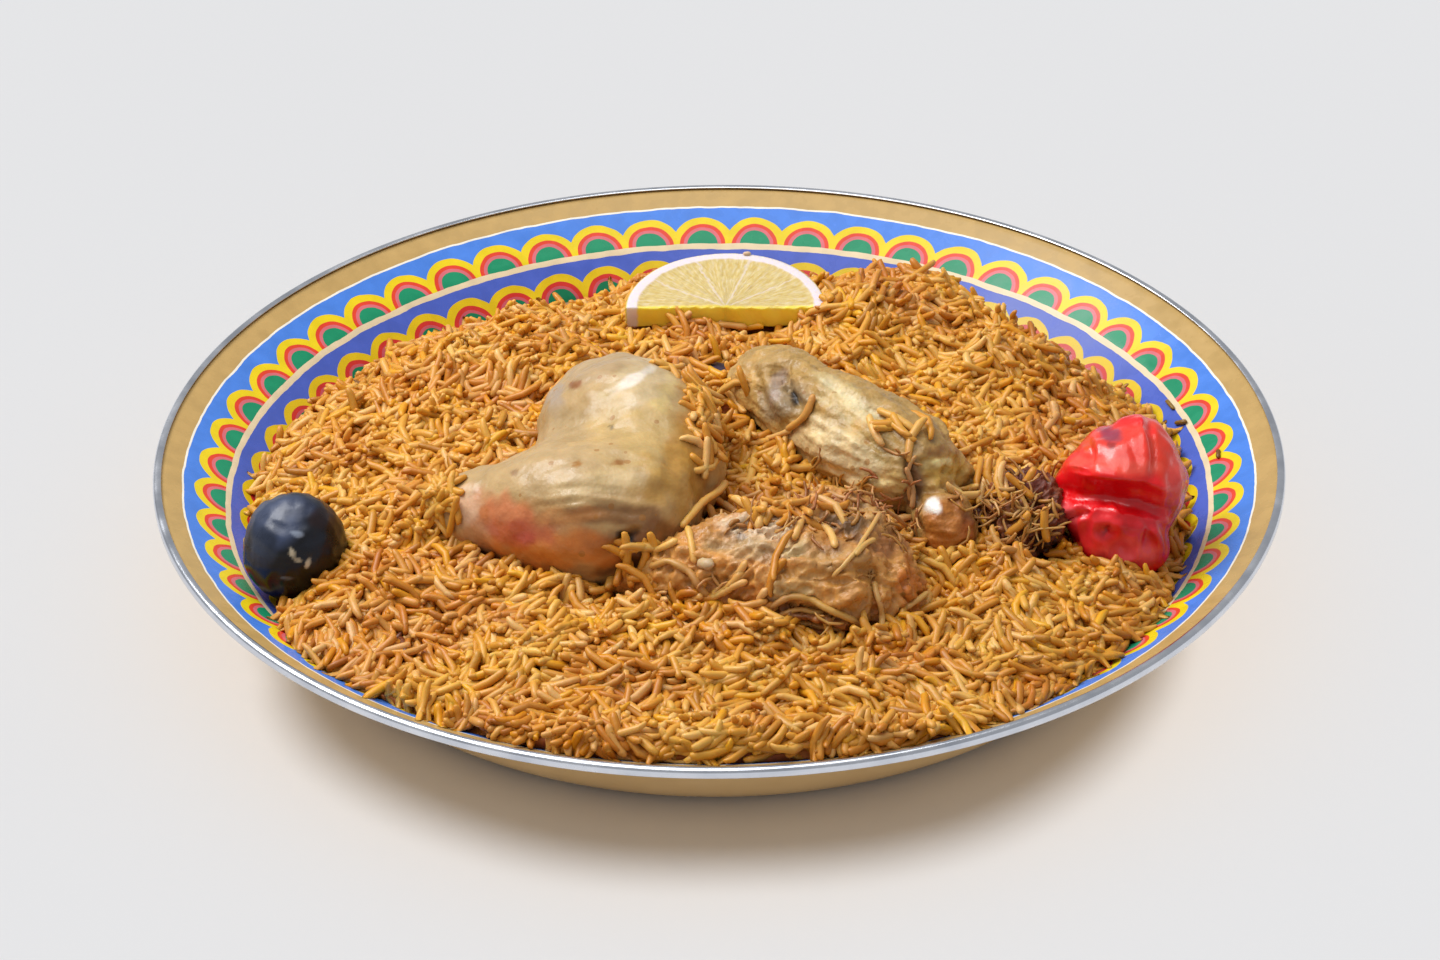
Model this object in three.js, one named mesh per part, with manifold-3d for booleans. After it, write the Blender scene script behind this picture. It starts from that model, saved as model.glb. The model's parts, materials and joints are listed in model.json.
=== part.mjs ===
// A wide enamelled steel plate, heaped with spiced rice and laid with two stewed chicken legs,
// a chicken thigh, a clump of braised meat, a half slice of lemon, a red bonnet pepper, a black lime
// and a black olive.
// Millimetres, +Z up, origin at the centre of the plate's base, +Y towards the lemon.
import * as THREE from "three";
import { mergeVertices } from "three/addons/utils/BufferGeometryUtils.js";
import Module from "manifold-3d";

const wasm = await Module();
wasm.setup();

// General sizes
const GAP = 0.3; // clearance between pieces that touch
const SLIVER = 0.08; // detail finer than this, left by a cut, is smoothed away
const SECTORS = 56; // round the plate
const DEGREE = Math.PI / 180;

// Plate: one pressed sheet, its edge held in a steel band
const RIM_RADIUS = 170;
const SHEET = 1.2;
const SHEET_EDGE_RADIUS = 168.9;
const SHEET_EDGE_DEPTH = 1.05; // of the sheet's upper face below the rim's crest
const LIP_RADIUS = 167.4;
const LIP_SLOPE = 4; // degrees, from the sheet's edge to the lip
const WALL_STEPS = [
  // from the lip inwards: where each stretch of the wall ends, and its slope
  { radius: 161, slope: 26 }, // plain flange
  { radius: 149.1, slope: 30 }, // outer ring of ornament
  { radius: 137, slope: 38 }, // inner ring of ornament
  { radius: 131.5, slope: 64 }, // plain wall
];
const CORNER_RADIUS = 16; // between the wall and the flat floor
const CORNER_STEPS = 3;

// Rim band: a channel closed over the sheet's edge
const BAND_HEIGHT = 2.9;
const BAND_WALL = 0.5;
const BAND_INNER_RADIUS = 167.5;
const BAND_ROUND = 0.5; // rounding of its outer edges
const BAND_DIP = 0.25; // of the inner edge below the crest

// Rice: a dome that meets the wall low at the back and high at the front
const HEAP_CREST = 5; // above the rim's crest
const HEAP_EDGE_BACK = 135.5;
const HEAP_EDGE_SPREAD = 21; // how much further it reaches at the front
const HEAP_EDGE_POWER = 2.5;
const HEAP_EDGE_WAVES = [
  // the outline's unevenness: waves round the plate, reach and phase
  { count: 5, reach: 1.3, phase: 1 },
  { count: 9, reach: 0.9, phase: 2.2 },
];
const HEAP_EDGE_THICK = 2.4; // about one grain
const HEAP_WALL_CLEARANCE = 0.9; // up and down, over the steep wall
const HEAP_DOME_POWER = 3;
const HEAP_FADE_POWER = 8; // how late the mounds and ripples die away towards the edge
const HEAP_RINGS = 10;
const HEAP_RING_POWER = 0.85; // spaces the rings closer together near the edge
const MOUNDS = [
  // low mounds on the dome: centre, radius and height
  { at: [64, 92], radius: 30, high: 19 },
  { at: [100, 56], radius: 26, high: 16 },
  { at: [-70, 66], radius: 30, high: 5 },
  { at: [-20, 100], radius: 22, high: 3 },
  { at: [108, -8], radius: 22, high: 3 },
  { at: [-92, -66], radius: 26, high: 3 },
  { at: [24, -122], radius: 30, high: 2.5 },
];
const RIPPLES = [
  // gentle waves across the heap: direction in degrees, wavelength and height
  { way: 15, length: 47, high: 0.9 },
  { way: 74, length: 39, high: 0.8 },
  { way: 131, length: 31, high: 0.7 },
];

// The plate's inside, from the lip down to the floor, as [radius, depth below the rim's crest]
function plateInside() {
  const line = [[SHEET_EDGE_RADIUS, SHEET_EDGE_DEPTH]];
  let radius = LIP_RADIUS;
  let depth = SHEET_EDGE_DEPTH + (SHEET_EDGE_RADIUS - LIP_RADIUS) * Math.tan(LIP_SLOPE * DEGREE);
  line.push([radius, depth]);
  for (const step of WALL_STEPS) {
    depth += (radius - step.radius) * Math.tan(step.slope * DEGREE);
    radius = step.radius;
    line.push([radius, depth]);
  }
  const steepest = WALL_STEPS.at(-1).slope;
  const centre = [radius - CORNER_RADIUS * Math.sin(steepest * DEGREE),
    depth - CORNER_RADIUS * Math.cos(steepest * DEGREE)];
  for (let i = 1; i <= CORNER_STEPS; i++) {
    const slope = steepest * (1 - i / CORNER_STEPS) * DEGREE;
    line.push([centre[0] + CORNER_RADIUS * Math.sin(slope), centre[1] + CORNER_RADIUS * Math.cos(slope)]);
  }
  return line;
}

const INSIDE = plateInside();
const FLOOR_RADIUS = INSIDE.at(-1)[0];
const RIM_HEIGHT = INSIDE.at(-1)[1] + SHEET;

// Height of the plate's inside at a radius
function insideHeight(radius) {
  if (radius <= FLOOR_RADIUS) return SHEET;
  for (let i = 1; i < INSIDE.length; i++) {
    const [outer, outerDepth] = INSIDE[i - 1];
    const [inner, innerDepth] = INSIDE[i];
    if (radius >= inner) {
      const share = (radius - inner) / (outer - inner);
      return RIM_HEIGHT - innerDepth - (outerDepth - innerDepth) * share;
    }
  }
  return SHEET;
}

function material(color, roughness, metalness = 0) {
  return new THREE.MeshStandardMaterial({ color, roughness, metalness });
}

const ENAMEL = material(0xd9c4a0, 0.2);
const STEEL = material(0xc4c8cf, 0.25, 1);
const RICE = material(0xc98a43, 0.6);
const SKIN = material(0xc7ab72, 0.4);
const THIGH_SKIN = material(0xa98556, 0.45);
const MEAT = material(0x5b3420, 0.6);
const LEMON = material(0xe9dc8a, 0.35);
const PEPPER = material(0xc9201f, 0.25);
const LIME = material(0x14151c, 0.2);
const OLIVE = material(0x2a1c2c, 0.3);

// A turned piece from a profile of [radius, height]
function turned(profile) {
  const points = profile.map(([r, z]) => new THREE.Vector2(r, z));
  return new THREE.LatheGeometry(points, SECTORS).rotateX(Math.PI / 2);
}

function plate() {
  const inside = INSIDE.map(([r, depth]) => [r, RIM_HEIGHT - depth]).reverse();
  const outside = inside.map(([r, z], i) => {
    const [r0, z0] = inside[Math.max(i - 1, 0)];
    const [r1, z1] = inside[Math.min(i + 1, inside.length - 1)];
    const slope = i === 0 ? 0 : Math.atan2(z1 - z0, r1 - r0);
    return [r + SHEET * Math.sin(slope), z - SHEET * Math.cos(slope)];
  });
  outside.pop();
  outside.push([SHEET_EDGE_RADIUS, RIM_HEIGHT - SHEET_EDGE_DEPTH - SHEET]);
  const profile = [[0, 0], ...outside, ...inside.reverse(), [0, SHEET]];
  return new THREE.Mesh(turned(profile), ENAMEL);
}

function rimBand() {
  const top = RIM_HEIGHT;
  const bottom = RIM_HEIGHT - BAND_HEIGHT;
  const groove = SHEET_EDGE_RADIUS + GAP;
  const lipTop = top - BAND_DIP;
  const lipUnder = lipTop - BAND_WALL / 2;
  const profile = [
    [BAND_INNER_RADIUS, bottom],
    [RIM_RADIUS - BAND_ROUND, bottom],
    [RIM_RADIUS, bottom + BAND_ROUND],
    [RIM_RADIUS, top - 2 * BAND_ROUND],
    [RIM_RADIUS - BAND_ROUND, lipTop],
    [RIM_RADIUS - 3 * BAND_ROUND, top],
    [BAND_INNER_RADIUS, lipTop],
    [BAND_INNER_RADIUS, lipUnder],
    [groove, lipUnder - BAND_WALL / 2],
    [groove, bottom + BAND_WALL / 2],
    [BAND_INNER_RADIUS, bottom + BAND_WALL / 3],
    [BAND_INNER_RADIUS, bottom],
  ];
  return new THREE.Mesh(turned(profile), STEEL);
}

// A closed skin over rings of points, from one pole to the other
function closedSkin(rings, first, last) {
  const count = rings[0].length;
  const points = [first, ...rings.flat(), last];
  const at = (ring, i) => 1 + ring * count + (i % count);
  const faces = [];
  for (let i = 0; i < count; i++) {
    faces.push(0, at(0, i), at(0, i + 1));
    faces.push(points.length - 1, at(rings.length - 1, i + 1), at(rings.length - 1, i));
    for (let ring = 1; ring < rings.length; ring++) {
      faces.push(at(ring - 1, i), at(ring, i), at(ring, i + 1));
      faces.push(at(ring - 1, i), at(ring, i + 1), at(ring - 1, i + 1));
    }
  }
  const geometry = new THREE.BufferGeometry().setFromPoints(points);
  geometry.setIndex(faces);
  return geometry;
}

// Height of the heap's underside, a little clearer of the steep wall than of the floor
function heapUnderside(radius) {
  const onWall = Math.min(1, Math.max(0, radius - FLOOR_RADIUS) / CORNER_RADIUS);
  return insideHeight(radius) + GAP + (HEAP_WALL_CLEARANCE - GAP) * onWall;
}

// How far the heap reaches at an angle clockwise from the back
function heapEdge(angle) {
  const frontness = (1 - Math.cos(angle)) / 2;
  let edge = HEAP_EDGE_BACK + HEAP_EDGE_SPREAD * frontness ** HEAP_EDGE_POWER;
  for (const wave of HEAP_EDGE_WAVES) {
    edge += wave.reach * Math.sin(wave.count * angle + wave.phase);
  }
  return edge;
}

// Height of the heap's surface at a place
function heapHeight(x, y) {
  const radius = Math.hypot(x, y);
  const edge = heapEdge(Math.atan2(x, y));
  const share = radius / edge;
  const low = heapUnderside(edge) + HEAP_EDGE_THICK;
  const crest = RIM_HEIGHT + HEAP_CREST;
  let z = crest - (crest - low) * share ** HEAP_DOME_POWER;
  const fade = 1 - share ** HEAP_FADE_POWER;
  for (const mound of MOUNDS) {
    const away = Math.hypot(x - mound.at[0], y - mound.at[1]) / mound.radius;
    z += fade * mound.high * Math.exp(-away * away);
  }
  for (const ripple of RIPPLES) {
    const along = x * Math.cos(ripple.way * DEGREE) + y * Math.sin(ripple.way * DEGREE);
    z += fade * ripple.high * Math.sin((2 * Math.PI * along) / ripple.length);
  }
  return z;
}

function riceHeap() {
  const angles = Array.from({ length: SECTORS }, (_, i) => (2 * Math.PI * i) / SECTORS);
  const ring = (place) => angles.map((angle) => new THREE.Vector3(...place(angle, heapEdge(angle))));
  const onPlate = (radius) => (angle, edge) => {
    const r = Math.min(radius, edge);
    return [r * Math.sin(angle), r * Math.cos(angle), heapUnderside(r)];
  };
  const cornerRadii = INSIDE.slice(-CORNER_STEPS - 1).map(([r]) => r).reverse();
  const [, lineStep, ringStep, wallStep] = WALL_STEPS;
  const bendOrHalfway = (bend, inner, edge) => (edge > bend + 1 ? bend : (inner + edge) / 2);
  const lowBend = (edge) => bendOrHalfway(ringStep.radius, wallStep.radius, edge);
  const highBend = (edge) => bendOrHalfway(lineStep.radius, lowBend(edge), edge);
  const under = cornerRadii.map((r) => ring(onPlate(r)));
  under.push(ring((angle, edge) => onPlate(lowBend(edge))(angle, edge)));
  under.push(ring((angle, edge) => onPlate(highBend(edge))(angle, edge)));
  under.push(ring((angle, edge) => onPlate(edge)(angle, edge)));
  const over = [];
  for (let k = HEAP_RINGS; k >= 1; k--) {
    const share = (k / HEAP_RINGS) ** HEAP_RING_POWER;
    over.push(ring((angle, edge) => {
      const x = share * edge * Math.sin(angle);
      const y = share * edge * Math.cos(angle);
      return [x, y, heapHeight(x, y)];
    }));
  }
  const below = new THREE.Vector3(0, 0, heapUnderside(0));
  const above = new THREE.Vector3(0, 0, heapHeight(0, 0));
  const geometry = closedSkin([...under, ...over], below, above);
  return new THREE.Mesh(geometry, RICE);
}

// A fleshy body along a smooth spine
const LIMB_RINGS = 10;
const LIMB_SIDES = 12;
const LIMB_BLUNT = 0.16; // share of its length over which each end closes

function limb(stations, grow) {
  const spine = new THREE.CatmullRomCurve3(
    stations.map(([x, y, h]) => new THREE.Vector3(x, y, RIM_HEIGHT + h)));
  const girth = new THREE.SplineCurve(stations.map((s) => new THREE.Vector2(s[3], s[4])));
  const up = new THREE.Vector3(0, 0, 1);
  const tips = [0, 1].map((t) => {
    const tangent = spine.getTangent(t).multiplyScalar(t ? grow : -grow);
    return spine.getPoint(t).add(tangent);
  });
  const loops = [];
  for (let k = 1; k < LIMB_RINGS; k++) {
    const t = (1 - Math.cos((Math.PI * k) / LIMB_RINGS)) / 2;
    const toEnd = Math.min(1, Math.min(t, 1 - t) / LIMB_BLUNT);
    const closing = Math.sqrt(1 - (1 - toEnd) ** 2);
    const centre = spine.getPoint(t);
    const tangent = spine.getTangent(t);
    const side = tangent.clone().cross(up).normalize();
    const top = side.clone().cross(tangent);
    const { x: wide, y: high } = girth.getPoint(t);
    loops.push(Array.from({ length: LIMB_SIDES }, (_, i) => {
      const angle = (2 * Math.PI * i) / LIMB_SIDES;
      return centre.clone()
        .addScaledVector(side, Math.cos(angle) * (wide * closing + grow))
        .addScaledVector(top, Math.sin(angle) * (high * closing + grow));
    }));
  }
  return closedSkin(loops, tips[0], tips[1]);
}

// A rounded body about its own centre: reach gives its radius in a direction
function rounded(reach, grow, rings, sides) {
  const place = (polar, around) => {
    const flat = Math.sin(polar);
    const direction = new THREE.Vector3(flat * Math.cos(around), flat * Math.sin(around), Math.cos(polar));
    return direction.clone().multiplyScalar(reach(direction) + grow);
  };
  const loops = [];
  for (let k = 1; k < rings; k++) {
    const polar = (Math.PI * k) / rings;
    loops.push(Array.from({ length: sides }, (_, i) => place(polar, (2 * Math.PI * i) / sides)));
  }
  return closedSkin(loops, place(0, 0), place(Math.PI, 0));
}

// Radius of an ellipsoid in a direction
function ellipsoid(a, b, c) {
  return (d) => 1 / Math.sqrt((d.x / a) ** 2 + (d.y / b) ** 2 + (d.z / c) ** 2);
}

// Solids for joining and cutting, in the plate's frame
function solidOf(mesh) {
  mesh.updateMatrixWorld(true);
  const bare = mesh.geometry.clone().applyMatrix4(mesh.matrixWorld);
  bare.deleteAttribute("normal");
  bare.deleteAttribute("uv");
  const merged = mergeVertices(bare, 1e-3);
  return new wasm.Manifold(new wasm.Mesh({
    numProp: 3,
    vertProperties: merged.attributes.position.array,
    triVerts: new Uint32Array(merged.index.array),
  }));
}

function meshOf(solid, paint) {
  const pieces = solid.simplify(SLIVER).decompose();
  const biggest = pieces.sort((a, b) => b.volume() - a.volume())[0];
  const { vertProperties, triVerts } = biggest.getMesh();
  const geometry = new THREE.BufferGeometry();
  geometry.setAttribute("position", new THREE.BufferAttribute(vertProperties, 3));
  geometry.setIndex(new THREE.BufferAttribute(triVerts, 1));
  return new THREE.Mesh(geometry, paint);
}

function cutBy(mesh, tools) {
  return meshOf(tools.map(solidOf).reduce((a, b) => a.subtract(b), solidOf(mesh)), mesh.material);
}

// A rounded body set at a place in the plate: at is [x, y, height above the rim]
function roundedAt({ reach, at, rings, sides }, grow, paint) {
  const mesh = new THREE.Mesh(rounded(reach, grow, rings, sides), paint);
  mesh.position.set(at[0], at[1], RIM_HEIGHT + at[2]);
  return mesh;
}

// Chicken. Each station of a limb is [x, y, height above the rim, half width, half height].
const LEFT_SHANK = [
  // from its end at the left to the bent knee
  [-86, -38, 4, 6, 6],
  [-72, -45, 8, 12, 11],
  [-50, -55, 12, 20, 19],
  [-28, -58, 13, 24, 22],
  [-8, -50, 10, 19, 19],
];
const LEFT_THIGH = [
  // from the knee to the back
  [-8, -52, 8, 16, 18],
  [-20, -36, 14, 23, 21],
  [-28, -14, 16, 26, 21],
  [-32, 12, 8, 22, 16],
];
const RIGHT_SHANK = [
  // from the open joint at the back to the knuckles at the front
  [7, 22, 13, 12, 12],
  [22, 3, 16, 14, 14],
  [38, -17, 16, 16, 15],
  [54, -34, 14, 17, 16],
  [64, -46, 10, 13, 14],
];
const RIGHT_KNUCKLES = [
  { at: [67, -33, 10], reach: ellipsoid(9, 8, 7), rings: 7, sides: 10 },
  { at: [66, -54, 5], reach: ellipsoid(9.5, 11.5, 11.5), rings: 8, sides: 12 },
];
const RIGHT_SOCKET = { at: [19, -3, 27.5], reach: ellipsoid(4, 7, 5), rings: 6, sides: 8 };
const RIGHT_THIGH = [
  [-34, -74, 1, 6, 5],
  [-12, -76, 5, 14, 11],
  [12, -78, 7, 20, 16],
  [34, -84, 7, 23, 18],
  [58, -88, 0, 15, 12],
];

function chickenLegLeft(grow = 0) {
  const shank = new THREE.Mesh(limb(LEFT_SHANK, grow), SKIN);
  const thigh = new THREE.Mesh(limb(LEFT_THIGH, grow), SKIN);
  return meshOf(solidOf(shank).add(solidOf(thigh)), SKIN);
}

function chickenLegRight(grow = 0) {
  let leg = solidOf(new THREE.Mesh(limb(RIGHT_SHANK, grow), SKIN));
  for (const knuckle of RIGHT_KNUCKLES) leg = leg.add(solidOf(roundedAt(knuckle, grow, SKIN)));
  return meshOf(leg.subtract(solidOf(roundedAt(RIGHT_SOCKET, 0, SKIN))), SKIN);
}

function chickenThigh(grow = 0) {
  return new THREE.Mesh(limb(RIGHT_THIGH, grow), THIGH_SKIN);
}

const MEAT_CLUMP = { at: [89, -44, 1], reach: ellipsoid(15, 14, 13), rings: 9, sides: 12 };
const LIME_BALL = { at: [-124, -54, 0], reach: ellipsoid(15.3, 15.3, 16.2), rings: 12, sides: 18 };
const OLIVE_BALL = { at: [-1, 35, -2.5], reach: ellipsoid(10.5, 10.5, 10.5), rings: 9, sides: 12 };

function braisedMeat(grow = 0) {
  return roundedAt(MEAT_CLUMP, grow, MEAT);
}

function blackLime(grow = 0) {
  return roundedAt(LIME_BALL, grow, LIME);
}

function blackOlive(grow = 0) {
  return roundedAt(OLIVE_BALL, grow, OLIVE);
}

// A bonnet pepper, four-lobed and slumped, with a deep fold across its side and a dimple at its tip
const PEPPER_SIZE = [19, 24, 23];
const PEPPER_SQUARE = 2.4; // 2 is an ellipsoid, more has fuller shoulders
const PEPPER_LOBES = { count: 4, deep: 0.04, phase: 0.6 };
const PEPPER_AT = [117, -39, 3];
const PEPPER_DENTS = [
  // the fold, the tip's dimple and a hollow towards the meat
  { toward: [0.05, -0.87, 0.5], across: 0.95, along: 0.26, deep: 4.5 },
  { toward: [-0.2, -0.98, 0], across: 0.2, along: 0.2, deep: 3 },
  { toward: [-1, -0.3, -0.1], across: 0.3, along: 0.5, deep: 2.5 },
];

function pepperReach(direction) {
  const [a, b, c] = PEPPER_SIZE;
  const shares = [direction.x / a, direction.y / b, direction.z / c];
  const sum = shares.reduce((total, share) => total + Math.abs(share) ** PEPPER_SQUARE, 0);
  const body = sum ** (-1 / PEPPER_SQUARE);
  const around = Math.atan2(direction.z, direction.x);
  const flatness = 1 - direction.y ** 2;
  const lobes = Math.cos(PEPPER_LOBES.count * around + PEPPER_LOBES.phase);
  let reach = body * (1 + PEPPER_LOBES.deep * flatness * lobes);
  for (const dent of PEPPER_DENTS) {
    const toward = new THREE.Vector3(...dent.toward).normalize();
    const off = direction.clone().sub(toward);
    const side = off.x / dent.across;
    const rest = Math.hypot(off.y, off.z) / dent.along;
    reach -= dent.deep * Math.exp(-side * side - rest * rest);
  }
  return reach;
}

function redPepper(grow = 0) {
  return roundedAt({ at: PEPPER_AT, reach: pepperReach, rings: 13, sides: 20 }, grow, PEPPER);
}

// Half a slice of lemon, its cut edge towards the front
const LEMON_RADIUS = 31.5;
const LEMON_THICK = 7.5;
const LEMON_AT = [2.5, 74, 0.2];
const LEMON_TILT = 3.5; // degrees, its back edge raised

function lemonSlice(grow = 0) {
  const outline = new THREE.Shape();
  outline.moveTo(-LEMON_RADIUS - grow, -grow);
  outline.lineTo(LEMON_RADIUS + grow, -grow);
  outline.lineTo(LEMON_RADIUS + grow, 0);
  outline.absarc(0, 0, LEMON_RADIUS + grow, 0, Math.PI);
  outline.lineTo(-LEMON_RADIUS - grow, -grow);
  const slab = new THREE.ExtrudeGeometry(outline, {
    depth: LEMON_THICK + 2 * grow,
    bevelEnabled: false,
    curveSegments: 24,
  });
  const slice = new THREE.Mesh(slab.translate(0, 0, -grow), LEMON);
  slice.position.set(LEMON_AT[0], LEMON_AT[1], RIM_HEIGHT + LEMON_AT[2]);
  slice.rotation.x = LEMON_TILT * DEGREE;
  return slice;
}

const FOOD = {
  chicken_leg_left: chickenLegLeft,
  chicken_leg_right: chickenLegRight,
  chicken_thigh_right: chickenThigh,
  braised_meat: braisedMeat,
  lemon_slice: lemonSlice,
  red_pepper: redPepper,
  black_lime: blackLime,
  black_olive: blackOlive,
};
const SHAPED_BY = {
  // pieces pressed into by their neighbours
  chicken_thigh_right: ["chicken_leg_right", "chicken_leg_left"],
  braised_meat: ["chicken_leg_right", "chicken_thigh_right", "red_pepper"],
  black_olive: ["chicken_leg_left", "chicken_leg_right"],
};

const madghout = new THREE.Group();

function place(name, mesh) {
  mesh.name = name;
  madghout.add(mesh);
}

place("plate", plate());
place("rim_band", rimBand());
const presses = Object.values(FOOD).map((make) => make(GAP));
place("rice_heap", cutBy(riceHeap(), presses));
for (const [name, make] of Object.entries(FOOD)) {
  const tools = (SHAPED_BY[name] ?? []).map((other) => FOOD[other](GAP));
  place(name, tools.length ? cutBy(make(), tools) : make());
}

export default madghout;
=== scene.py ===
import json
import math

import bmesh
import bpy
import numpy as np
from mathutils import Matrix, Vector
from mathutils.bvhtree import BVHTree

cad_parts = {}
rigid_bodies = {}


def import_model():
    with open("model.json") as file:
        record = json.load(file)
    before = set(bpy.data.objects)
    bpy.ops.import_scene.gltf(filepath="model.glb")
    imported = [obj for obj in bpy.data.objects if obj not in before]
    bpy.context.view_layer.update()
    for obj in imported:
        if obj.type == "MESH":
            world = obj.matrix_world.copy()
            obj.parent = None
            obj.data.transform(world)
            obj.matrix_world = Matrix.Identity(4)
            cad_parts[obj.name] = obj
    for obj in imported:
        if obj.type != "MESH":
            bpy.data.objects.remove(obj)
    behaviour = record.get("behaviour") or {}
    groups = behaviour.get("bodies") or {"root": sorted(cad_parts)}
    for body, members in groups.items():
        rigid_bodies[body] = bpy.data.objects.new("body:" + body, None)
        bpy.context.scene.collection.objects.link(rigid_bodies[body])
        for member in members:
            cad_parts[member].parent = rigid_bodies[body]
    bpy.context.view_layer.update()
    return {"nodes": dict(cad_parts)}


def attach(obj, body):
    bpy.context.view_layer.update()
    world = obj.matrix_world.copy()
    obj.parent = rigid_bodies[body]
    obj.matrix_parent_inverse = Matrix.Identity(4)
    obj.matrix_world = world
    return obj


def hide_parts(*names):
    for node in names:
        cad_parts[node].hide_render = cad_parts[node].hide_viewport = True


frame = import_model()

MM = 0.001

# Camera: its place and its three axes in the part's frame, and its focal length in pixels of the
# picture
EYE = Vector((0.0, -1.248367, 0.79335))
RIGHT = Vector((0.99995558, -0.00505779, -0.00795291))
UP = Vector((0.00942343, 0.52129399, 0.85332513))
AHEAD = Vector((0.000170131, 0.853362174, -0.521318494))
FOCAL_PX = 4832.739
PICTURE = (1440, 960)

# Plate, in millimetres
RIM_RADIUS = 170.0
SHEET = 1.2
SHEET_EDGE_RADIUS = 168.9
SHEET_EDGE_DEPTH = 1.05
LIP_RADIUS = 167.4
LIP_SLOPE = 4.0
WALL_STEPS = [(161.0, 26.0), (149.1, 30.0), (137.0, 38.0), (131.5, 64.0)]
CORNER_RADIUS = 16.0
CORNER_STEPS = 14
BAND_HEIGHT = 2.9
BAND_INNER_RADIUS = 167.5
BAND_GAP = 0.3
SHEET_STEP = 2.0
FLOOR_RINGS = (0.0, 30.0, 60.0, 90.0)
ROUND_STEPS = 288


def make_camera():
    """The camera that took the picture."""
    data = bpy.data.cameras.new("camera")
    data.sensor_width = 36.0
    data.lens = FOCAL_PX * data.sensor_width / PICTURE[0]
    data.clip_start, data.clip_end = 0.05, 30.0
    camera = bpy.data.objects.new("camera", data)
    turn = Matrix((RIGHT, UP, -AHEAD)).transposed()
    camera.matrix_world = Matrix.Translation(EYE) @ turn.to_4x4()
    bpy.context.scene.collection.objects.link(camera)
    bpy.context.scene.camera = camera


make_camera()


# Helpers

def linear(colour):
    """An sRGB hex colour as linear red, green, blue and alpha."""
    parts = [int(colour[i:i + 2], 16) / 255 for i in (1, 3, 5)]
    return (*[c / 12.92 if c <= 0.04045 else ((c + 0.055) / 1.055) ** 2.4 for c in parts], 1.0)


def fill(tree, node, inputs):
    """Sets or links a node's inputs, each by its name or number. A node stands for its first output."""
    for key, value in inputs.items():
        if isinstance(value, bpy.types.Node):
            value = value.outputs[0]
        if isinstance(value, bpy.types.NodeSocket):
            tree.links.new(value, node.inputs[key])
        else:
            node.inputs[key].default_value = value


def add(tree, kind, inputs=(), stops=(), **settings):
    """A node with its settings, its inputs and, for a colour ramp, its stops."""
    node = tree.nodes.new(kind if "Node" in kind else "ShaderNode" + kind)
    for name, value in settings.items():
        setattr(node, name, value)
    fill(tree, node, dict(inputs))
    for i, (place, colour) in enumerate(stops):
        ramp = node.color_ramp.elements
        stop = ramp[i] if i < 2 else ramp.new(place)
        stop.position = place
        stop.color = linear(colour)
    return node


def new_material(name):
    """A material with a Principled shader, and its node tree."""
    made = bpy.data.materials.new(name)
    made.use_nodes = True
    tree = made.node_tree
    return made, tree, tree.nodes["Principled BSDF"]


def new_object(name, mesh):
    made = bpy.data.objects.new(name, mesh)
    bpy.context.scene.collection.objects.link(made)
    return made


def smooth_shaded(mesh, smooth=True):
    mesh.polygons.foreach_set("use_smooth", [smooth] * len(mesh.polygons))


def new_mesh(name, points, faces, smooth=True):
    """A mesh from points in millimetres."""
    mesh = bpy.data.meshes.new(name)
    mesh.from_pydata([tuple(c * MM for c in p) for p in points], [], faces)
    smooth_shaded(mesh, smooth)
    mesh.update()
    return mesh


def points_of(mesh):
    """The mesh's points in millimetres."""
    flat = np.empty(len(mesh.vertices) * 3, dtype=np.float32)
    mesh.vertices.foreach_get("co", flat)
    return flat.reshape(-1, 3).astype(float) / MM


def normals_of(mesh):
    flat = np.empty(len(mesh.vertices) * 3, dtype=np.float32)
    mesh.vertex_normals.foreach_get("vector", flat)
    return flat.reshape(-1, 3).astype(float)


def set_points(mesh, points):
    mesh.vertices.foreach_set("co", (points * MM).astype(np.float32).ravel())
    mesh.update()


def evaluated(obj):
    """The object with its modifiers applied."""
    seen = obj.evaluated_get(bpy.context.evaluated_depsgraph_get())
    mesh = bpy.data.meshes.new_from_object(seen)
    obj.modifiers.clear()
    obj.data = mesh
    return obj


def welded(mesh, within):
    """Merges the mesh's points that lie within some millimetres of each other."""
    loose = bmesh.new()
    loose.from_mesh(mesh)
    bmesh.ops.remove_doubles(loose, verts=loose.verts, dist=within * MM)
    loose.to_mesh(mesh)
    loose.free()
    return mesh


def marked(mesh, name, values, kind="FLOAT", field="value"):
    """Stores a value for each point, for a finish or a strewing to read."""
    values = np.asarray(values, dtype=np.float32).ravel()
    mesh.attributes.new(name, kind, "POINT").data.foreach_set(field, values)


def copy_of(node, name):
    """A closed copy of a CAD node's mesh as a new object."""
    mesh = frame["nodes"][node].data.copy()
    mesh.materials.clear()
    return new_object(name, welded(mesh, 0.002))


def refined(obj, voxel, rounds):
    """The object's mesh rebuilt in even faces of voxel millimetres, and smoothed."""
    remesh = obj.modifiers.new("even", "REMESH")
    remesh.mode = "VOXEL"
    remesh.voxel_size = voxel * MM
    remesh.use_smooth_shade = True
    if rounds:
        smooth = obj.modifiers.new("soft", "SMOOTH")
        smooth.factor = 0.5
        smooth.iterations = rounds
    return evaluated(obj)


def waves(points, size, seed, count=10):
    """An uneven field from about -1 to 1 whose swells are about size millimetres across."""
    rng = np.random.default_rng(seed)
    ways = rng.normal(size=(count, 3))
    ways /= np.linalg.norm(ways, axis=1)[:, None]
    steps = 2 * np.pi / (size * rng.uniform(0.7, 1.5, count))
    phases = rng.uniform(0, 2 * np.pi, count)
    bent = points @ (ways * steps[:, None]).T + phases
    return np.sin(bent).sum(axis=1) / math.sqrt(count)


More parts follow.
